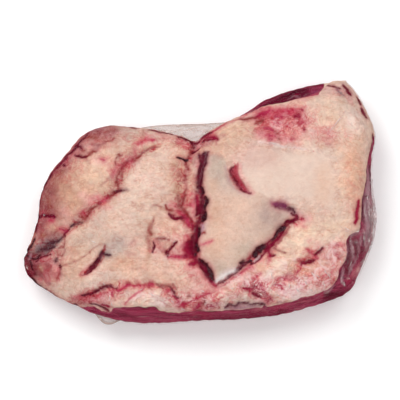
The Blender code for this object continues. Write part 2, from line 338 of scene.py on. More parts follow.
def grid_quads(long, wide):
    """The faces of a grid of cells, whose points run along it row by row."""
    row = long + 1
    corner = (np.arange(wide)[:, None] * row + np.arange(long)).ravel()
    return np.column_stack([corner, corner + 1, corner + row + 1, corner + row])


def grid_rim(long, wide):
    """The points round such a grid, counter-clockwise from its front left corner."""
    row = long + 1
    front = np.arange(long)
    right = long + row * np.arange(wide)
    back = row * wide + np.arange(long, 0, -1)
    left = row * np.arange(wide, 0, -1)
    return np.concatenate([front, right, back, left])


class Skin:
    """The pack's outer surface as a fine closed mesh, with each point's place in the folded-out plan."""

    def __init__(self):
        girth = girth_line()
        across, away = np.meshgrid(
            np.linspace(0, 1, CELLS_LONG + 1), np.linspace(0, 1, CELLS_WIDE + 1), indexing="xy"
        )
        top = stretch_over_plan(np.column_stack([across.ravel(), away.ravel()]), girth)
        rim = grid_rim(CELLS_LONG, CELLS_WIDE)
        turn = np.pi / 2 * np.arange(1, WALL_ROWS + 1) / WALL_ROWS
        rings = BASE_HOLE + (1 - BASE_HOLE) * (1 - np.arange(1, BASE_RINGS + 1) / BASE_RINGS)
        self.turn = np.concatenate([np.zeros(len(top)), np.repeat(turn, len(rim))])
        plan = np.vstack([top, np.tile(top[rim], (WALL_ROWS, 1))])
        height = GIRTH_HEIGHT * (1 - np.sin(self.turn))
        height[: len(top)] = top_height(top, girth)
        drop = np.where(self.turn > 0, GIRTH_HEIGHT - height, 0)
        places = fold_out(plan, girth, drop)
        relief = relief_at(places) * smooth_step(0, FOOT_FADE, height)
        relief *= 1 - GIRTH_KEEP * np.exp(-(((height - GIRTH_HEIGHT) / GIRTH_REACH) ** 2))
        inset = BASE_INSET * (1 - np.cos(self.turn)) / np.linalg.norm(plan, axis=1).clip(1)
        plan = plan * (1 - inset[:, None])
        foot = plan[-len(rim):]
        base = np.vstack([foot * ring for ring in rings])
        plan, places = np.vstack([plan, base]), np.vstack([places, base])
        self.turn = np.concatenate([self.turn, np.full(len(base), np.pi)])
        self.height = np.concatenate([height, np.zeros(len(base))])
        relief = np.concatenate([relief, np.zeros(len(base))])
        self.places = places
        self.quads, self.hole = self.faces(len(top), rim)
        points = np.column_stack([plan, self.height])
        self.points = points + self.normals(points) * relief[:, None]
        self.points[:, 2] = self.points[:, 2].clip(0)
        self.outward = self.normals(self.points)
        self.under = self.turn > UNDER_FROM
        self.finder = None

    @staticmethod
    def faces(tops, rim):
        """The four-sided faces of the top, the wall and the base, and the points of the base's last one."""
        quads = [grid_quads(CELLS_LONG, CELLS_WIDE)]
        upper = rim
        for ring in range(WALL_ROWS + BASE_RINGS):
            lower = tops + ring * len(rim) + np.arange(len(rim))
            sides = [lower, np.roll(lower, -1), np.roll(upper, -1), upper]
            quads.append(np.column_stack(sides))
            upper = lower
        return np.vstack(quads), upper[::-1]

    def normals(self, points):
        """Each point's outward direction, from the faces round it."""
        a, b, c, d = (points[self.quads[:, i]] for i in range(4))
        across = np.cross(c - a, d - b)
        total = np.zeros_like(points)
        for i in range(4):
            np.add.at(total, self.quads[:, i], across)
        total[self.hole] = (0, 0, -1)
        return total / np.linalg.norm(total, axis=1).clip(1e-9)[:, None]

    def lift(self, places, rise=0.0):
        """The points of the surface at places of the folded-out plan, so far outside it."""
        if self.finder is None:
            self.finder = kdtree.KDTree(len(self.places))
            for index in np.flatnonzero(~self.under):
                self.finder.insert((*self.places[index], 0), index)
            self.finder.balance()
        lifted = []
        for x, y in places:
            found = self.finder.find_n((x, y, 0), LIFT_FROM)
            index = [entry[1] for entry in found]
            weight = np.array([1 / (entry[2] + 1e-3) for entry in found])
            weight /= weight.sum()
            lifted.append(weight @ (self.points[index] + rise * self.outward[index]))
        return np.array(lifted)


@functools.lru_cache(maxsize=1)
def pack_skin():
    return Skin()


# ---- Colour on the meat ----------------------------------------------------------------------------

# Broad areas of the fat's own tone: tone, place, reach along and across, turn in degrees, strength
GROUNDS = rows_in("""
tan -140,-2 34 30 30 0.9
pink -166,0 18 44 10 0.9
pink -152,30 26 14 50 0.7
clay -165,-2 12 26 8 0.4
tan -105,35 40 30 40 0.5
grey -70,68 26 10 -5 0.7
grey -95,72 20 10 0 0.6
rosewood -116,74 26 11 0 1
rosy -116,62 30 14 10 0.6
cream -112,22 26 20 40 0.6
pale -50,18 34 26 30 0.35
grey -70,-22 32 22 20 0.35
peach -80,-62 34 24 10 0.6
peach -45,-85 44 22 0 0.7
grey -120,-48 30 14 20 0.5
grey -96,-58 20 13 20 0.75
slate -92,-60 12 8 25 0.35
grey -62,-38 12 14 0 0.6
pale -108,-92 24 10 25 0.7
grey -100,-92 14 8 20 0.4
rosy -168,-80 16 16 0 0.85
rosy -172,-42 16 14 20 0.75
rosewood -176,-20 12 20 0 0.75
tan -142,-76 18 18 0 0.5
pale -60,-116 28 9 0 0.9
white -48,-119 16 5 0 0.5
rosy -122,-114 26 8 15 0.7
tan -20,20 16 50 0 0.5
peach -34,-45 16 18 0 0.7
cream 30,70 26 14 15 0.8
tan 24,55 26 16 0 0.6
tan 58,72 14 12 0 0.5
mauve 62,40 22 16 0 0.75
pale 106,24 46 30 0 0.7
pale 85,-4 40 16 0 0.7
pale 135,42 18 10 0 0.7
salmon 168,22 16 44 0 0.85
salmon 150,62 26 12 0 0.6
tan 176,-10 10 26 0 0.6
yellow 118,-42 22 12 0 0.8
yellow 100,-58 20 14 0 0.7
yellow 84,-80 18 14 0 0.6
cream 140,-38 26 12 0 0.6
white 96,-104 26 10 8 0.7
blush 126,-86 24 15 25 0.7
bright 90,-100 16 12 0 0.5
bright 60,-95 14 12 0 0.6
bright 145,-78 14 16 0 0.6
peach 120,-80 16 10 0 0.5
bright 10,-112 26 12 0 0.6
pale 36,-114 20 8 0 0.6
grey 150,96 26 16 20 0.5
white 172,82 14 14 0 0.6
pale 160,68 20 12 0 0.5
blush 155,118 16 7 10 0.5
cream 140,90 16 22 0 0.5
""")

MEMBRANE = points_in("""
7,42 3,24 2,8 8,-8 6,-26 0,-40 -2,-60 6,-76 15,-90 17,-99 30,-90 46,-77 58,-66 74,-55 88,-38 98,-29
96,-16 80,-10 60,2 40,4 30,26 26,40
""")
CRESCENT = points_in("""
42,34 38,31 32,27 33,21 37,13 43,5 50,0 56,-1 51,5 46,13 42,22
""")
PATCH = points_in("""
46,84 58,90 72,97 90,99 106,97 118,99 116,90 122,82 116,72 110,62 94,56 76,60 63,62 60,74 66,80
""")
PLATEAU = points_in("""
62,52 100,48 138,46 147,38 149,20 150,-4 140,-16 110,-8 70,-6 56,0 44,22 48,42
""")

# Soft washes of colour in the fat: tone, half the width, strength and the line
# a painted glint
# a painted highlight along the film's fold below the patch
# a painted highlight of wrinkled film
# a painted highlight spot
# the left end's rim, darkened partly as painted shade along the edge and partly for dark meat, and the knob
WASHES = rows_in("""
# the raw patch
blush 9 0.85 90,75 100,73 112,70
# the plateau's ends
mauve 15 0.7 52,38 64,42 76,38
salmon 13 0.45 136,26 136,8 132,-8
rose 3.4 0.6 102,107.5 118,111 130,114.5
cream 4 0.5 150,46 156,26 156,0 148,-20
cream 3 0.8 70,103 90,104.5 116,104
rose 6 0.85 64,91 76,93 92,94 108,94
red 6 0.6 68,86 84,88 104,90 115,80
# the left end's rim and the knob
rosewood 6 0.6 -184,-34 -182,-20 -181,-4 -178,10 -170,23
rosewood 6 0.7 -168,26 -158,38 -148,48 -136,62 -124,72 -112,80
maroon 3.4 0.8 -184,-36 -184,-22 -182,-6 -180,4 -172,20
maroon 3 0.7 -169,25 -158,38 -148,49 -136,62 -126,71
rosewood 12 0.8 -192,-62 -188,-74 -182,-84
plum 10 0.9 -196,-60 -190,-68 -186,-76
soot 5 0.8 -197,-60 -192,-68 -190,-78
soot 3.4 0.9 -198,-62 -196,-70 -197,-78 -190,-88
slate 4 0.5 -190,-60 -182,-58 -172,-54
# the back lobe
rosewood 7 0.5 -171,20 -167,8 -166,-6 -165,-17
rosewood 5 0.45 -161,28 -153,27 -146,30
rosy 8 0.55 -157,38 -147,46 -138,53
red 2.4 0.45 -150,33 -148,40 -148,47
rosewood 4 0.7 -132,56 -129,52
blush 5 0.6 -126,57 -118,53 -112,50
rosewood 2.8 0.6 -121,58 -114,56 -106,57
rosewood 5 0.7 -114,77 -113,71 -111,66
rosewood 3.5 0.5 -122,74 -116,78 -106,80
rosewood 2.4 0.65 -105,69 -104,64
rosewood 2.2 0.5 -101,70 -99,67
clay 7 0.45 -122,70 -112,69 -102,68
umber 2.6 0.6 -133,68 -128,67 -120,66 -114,65
rosewood 3 0.5 -125,47 -120,51 -116,52 -114,48
rosewood 1.8 0.4 -126,42 -124,38 -121,34
rose 3.4 0.6 -111,40 -106,38.5 -101,41
blush 6 0.5 -118,40 -110,36 -102,34
tan 8 0.6 -142,22 -132,12 -122,6
tan 6 0.6 -150,2 -142,-6 -134,-10
umber 2.6 0.4 -158,24 -152,26
umber 4 0.35 -152,16 -143,6 -133,-2
tan 5 0.5 -156,14 -148,6 -140,2
umber 2.6 0.35 -140,22 -136,27
umber 2.4 0.5 -142,-8.5 -138,-8.5
rosewood 2.4 0.55 -108,9 -101,16 -96,22 -93,28
umber 2 0.35 -170,3 -168,-2 -166,-12
blush 7 0.5 -150,-16 -144,-24 -146,-30
blush 6 0.5 -130,0 -120,-6 -112,-2
# the seam between the back lobe and the middle
rosy 9 0.5 -95,25 -88,32 -78,39
rose 4.5 0.35 -93,35 -89,30 -87,26
rose 4 0.5 -94,27 -95,20
rose 5 0.6 -85,32 -79,36 -72,41
white 2 0.6 -91,17.5 -88,18.5
rose 4 0.5 -72,57 -71,51 -72,46
rose 4.6 0.7 -68,58 -60,61 -52,62
blush 5 0.6 -62,72 -56,67 -50,70
umber 2.2 0.4 -64,79 -63,72 -64,65
tan 4 0.45 -60,52 -52,55 -44,56
blush 6 0.6 -46,71 -38,68 -30,66
rose 3 0.4 -43,68 -40,64
rosewood 2.6 0.55 -96,0 -100,-3 -104,-7
rose 5.5 0.6 -101,-4 -108,-8 -113,-6
blush 6 0.55 -113,-8 -120,-8 -118,-14
slate 3.4 0.55 -88,5 -84,4 -79,4.5
blush 4 0.6 -104,-15 -98,-15
umber 2.6 0.35 -95,-7 -92,-10
rose 6 0.75 -124,-21 -130,-21
lilac 3.6 0.5 -134,-27 -138,-27
rosewood 4 0.55 -124,-27 -130,-27
rose 4.5 0.6 -146,-38 -153,-38 -158,-36
# the shank
salmon 6 0.6 -166,-34 -160,-36
clay 7 0.6 -176,-38 -168,-42 -160,-42
umber 3.2 0.6 -176,-42 -172,-43
rosewood 6 0.65 -181,-12 -178,-22 -179,-32
rose 3.4 0.6 -168,-26 -163,-28
slate 6 0.7 -154,-47 -164,-49 -174,-52 -182,-54
slate 5 0.7 -163,-55 -172,-57 -182,-58
slate 6 0.7 -172,-63 -180,-63 -186,-66
ink 3.4 0.75 -153,-47 -160,-49.5 -168,-51
ink 3.2 0.9 -162,-56 -172,-57.5 -182,-60
soot 4.5 0.3 -160,-52 -168,-54 -178,-57
rosy 8 0.8 -176,-70 -166,-76 -164,-88
rosewood 9 0.5 -184,-70 -177,-79 -171,-88
rose 5 0.3 -168,-82 -172,-90 -170,-96
rosewood 2.8 0.6 -170,-75 -168,-78
rosewood 3 0.6 -180,-84 -176,-90
rosewood 2.8 0.55 -171,-94 -166,-96
tan 3.2 0.6 -178,-77 -176,-80
blush 4 0.8 -161,-76 -158,-82
rose 3.8 0.6 -155,-82 -158,-92
maroon 6 0.75 -193,-64 -190,-74 -186,-84
soot 6 0.75 -194,-64 -191,-74 -187,-83
soot 6 0.5 -197,-62 -194,-72 -190,-82
slate 2.2 0.5 -188,-69 -187,-73
wine 3.6 0.7 -191,-82 -186,-84
umber 2.2 0.55 -184,-38 -186,-46 -191,-56
umber 3.4 0.4 -140,-60 -134,-64
clay 4 0.5 -152,-60 -158,-62
tan 7 0.5 -138,-84 -128,-92
umber 2.4 0.5 -110,-56 -108,-57
# the slit over the shank and the grey fat beside it
rose 4.2 0.35 -130,-89 -124,-85 -118,-77
slate 4 0.55 -105,-63 -101,-62
ash 10 0.7 -99,-62 -90,-56 -84,-54
ash 8 0.5 -92,-68 -82,-62
slate 4.5 0.35 -88,-53 -86,-52
rosy 4 0.4 -76,-56 -70,-54
rosy 4 0.4 -78,-68 -72,-68
tan 8 0.7 -96,-80 -84,-76 -74,-78
tan 4 0.5 -96,-94 -93,-98
tan 5 0.45 -58,-70 -58,-80 -56,-92
# the fold along the front
rose 4.5 0.6 -140,-113 -130,-112 -118,-110
rose 6 0.55 -124,-115 -112,-113 -104,-108
rose 4 0.7 -100,-105 -98,-110 -98,-114
blush 6 0.6 -112,-118 -100,-117 -90,-112
white 1.6 0.6 -98,-110 -98,-116
rose 3.4 0.6 -92,-104 -86,-104 -80,-99 -74,-101
rose 3 0.45 -72,-102 -62,-101 -56,-101
rose 3.4 0.65 -57,-100 -51,-101
ash 6 0.5 -82,-108 -74,-109
white 7 0.7 -56,-112 -46,-117 -42,-121
blush 3 0.45 -84,-120 -78,-122
rose 4.2 0.7 -36,-106 -33,-108 -31,-111
rose 3.4 0.5 -43,-102 -36,-103 -30,-104
blush 7 0.6 -26,-120 -14,-122 -6,-118
rose 3.6 0.6 -25,-121 -17,-121
rosy 3 0.5 -37,-124 -33,-126
rose 7 0.75 -7,-127 -2,-123 2,-120
blush 8 0.6 -8,-110 4,-110 16,-108
rose 3.4 0.6 0,-115 6,-111 10,-110
rose 2 0.45 11,-108 18,-107 28,-105
rose 4 0.6 7,-126 14,-125 20,-122
lilac 3.4 0.8 30,-127 44,-126 56,-126 66,-126
ash 5 0.4 30,-113 40,-114
# the wrinkled fat left of the membrane
tan 12 0.5 -24,30 -22,14 -26,4
rosy 3.4 0.5 -24,24 -20,20
umber 2.8 0.65 -30,31.5 -26,31
umber 2.4 0.5 -25,22 -21,20
umber 2.4 0.5 -25,13 -25,7
umber 2.2 0.5 -33,2.5 -28,2 -26,0
rosy 3 0.5 -28,27 -32,27
rose 3 0.45 -16,34 -14,27 -17,20
rose 3.2 0.4 -17,18 -16,10 -18,-2
rose 4.5 0.75 -33,-14 -28,-14 -24,-15
rose 4 0.8 -16,-13 -9,-13
rosy 5 0.6 -24,-4 -23,-12 -22,-20
rosy 7 0.6 -30,-20 -22,-22 -18,-20
rose 5 0.6 -24,-20 -18,-23
rose 4.5 0.6 -14,-30 -11,-36 -8,-40
umber 2.4 0.6 -44,-16 -40,-17 -36,-18
umber 2.2 0.6 -7,20 -7,17
umber 2.2 0.6 -8,1 -6,0
rosewood 3.4 0.5 -8,36 -5,34
tan 4 0.5 -10,26 -9,14 -9,4
rosewood 5 0.5 -12,40 -6,41 -3,42
# under the notch
red 5 0.5 2,64 8,67 16,65
rose 3.4 0.7 -24.5,64 -24,59
rose 4 0.6 -20,59 -17,55 -13,52
blush 4.5 0.7 -19,63 -13,58
red 3.6 0.6 -8,58 -8,51 -10,46 -12,40
rose 4.5 0.6 -3,55 0,60 3,62
rosewood 4.5 0.5 0,55 10,58 18,60
rosy 3.2 0.6 24,66 27,66
rose 3 0.65 14,72 22,77 34,83 44,88
rosewood 4.5 0.3 12,44 18,42 22,41
# the pocket below
umber 3.4 0.45 -50,-27 -53,-35 -56,-41 -57,-50 -55,-60 -55,-70
umber 3.4 0.6 -54,-43 -53,-46
rosy 6 0.75 -47,-54 -44,-60 -38,-64
rosewood 2.4 0.5 -47,-50 -38,-51 -33,-53
blush 6 0.7 -32,-66 -22,-64 -14,-62
rose 3.2 0.6 -33,-70 -22,-71 -12,-71
tan 6 0.5 -44,-32 -36,-36 -30,-42
# beside the membrane's left edge
rose 4.5 0.6 -7,0 -7,-6 -6,-14 -7,-24
rose 7 0.7 -15,-50 -16,-58 -14,-66
red 6 0.7 -11,-54 -12,-60 -10,-68
rose 6 0.6 -10,-77 -4,-84 4,-90 11,-97
rose 4 0.6 13,-99 18,-103
blush 8 0.6 -12,-84 -4,-92 4,-100
# round the crescent
blush 3 0.7 44,32 44.5,22 49,13 54,5 58,-1
lilac 3 0.35 28,30 30,20 36,9 44,1 52,-4
# beside its right edge
rose 4 0.6 32,-92 38,-91 44,-88
blush 8 0.7 44,-92 54,-86 62,-80
rose 3.4 0.6 49,-84 54,-82.5 58,-82
salmon 6 0.6 62,-78 66,-84 62,-90
rose 4 0.6 63,-74 67,-72
rose 3.6 0.75 75,-70 74,-77
rose 3.6 0.6 57,-96 62,-92 66,-88
red 4 0.5 48,-99 55,-102 62,-105
blush 8 0.75 105,-25 112,-30 118,-29
rose 3 0.5 106,-27 113,-31
rose 2.6 0.4 112,-37 116,-38
lilac 5 0.5 100,-22 103,-22
violet 6 0.45 79,-12 88,-14 97,-18
# the right shoulder's cut face
blush 3.6 0.6 117,-53 120,-53
blush 4 0.5 124,-57 130,-57
rose 3 0.7 116,-62 120,-65 125,-69
rose 5 0.6 124,-70 127,-74
rose 3.4 0.6 107,-74 112,-74 118,-73
rose 3.6 0.6 104,-88 108,-85 110,-80
rose 3.6 0.75 83,-95 92,-94 104,-94
rose 3 0.5 94,-91 100,-91
rose 3.6 0.7 82,-102 88,-104 92,-109
salmon 9 0.7 112,-84 124,-82 134,-78
rose 3.6 0.6 143,-57 150,-57 157,-57
rose 3.2 0.7 147,-66 150,-69 153,-72
rosy 5 0.6 137,-70 141,-72
rosy 4 0.5 142,-61 146,-63
blush 8 0.6 146,-76 154,-70 156,-62
rose 4 0.5 128,-99 132,-101
rose 5 0.5 138,-93 144,-96
blush 7 0.6 134,-104 144,-98 150,-88
rose 3 0.6 44,-106 50,-106 56,-108
rose 4.5 0.7 60,-106 65,-107
rose 4 0.7 60,-99 66,-103
rose 4 0.7 58,-111 66,-116 74,-120
rose 5 0.7 70,-117 78,-117
rose 3 0.5 82,-119 94,-120
blush 6 0.6 98,-90 106,-98 104,-108
white 5 0.7 72,-100 74,-90 78,-86
gleam 5 0.85 88,-112 98,-112.5 110,-109 120,-104
blush 7 0.7 118,-90 128,-86 138,-82
# the raw patch's surroundings
rose 3.4 0.7 46,90 56,96 68,99 78,100
blush 4 0.6 90,102 104,103 116,106
blush 9 0.6 124,70 134,68 144,70
blush 5 0.5 140,60 148,64
rosy 2.8 0.6 140,55.5 143,55
tan 3 0.6 134,52 137,52
blush 4 0.6 104,54 111,54
tan 3 0.5 164,54 168,54
white 1.8 0.7 64,57 76,57 86,54.5 98,52 116,50
blush 4 0.5 138,122 144,126 150,128
ash 4 0.5 152,120 158,112
blush 4 0.6 165,110 169,105
ash 5 0.35 178,84 184,80
""")
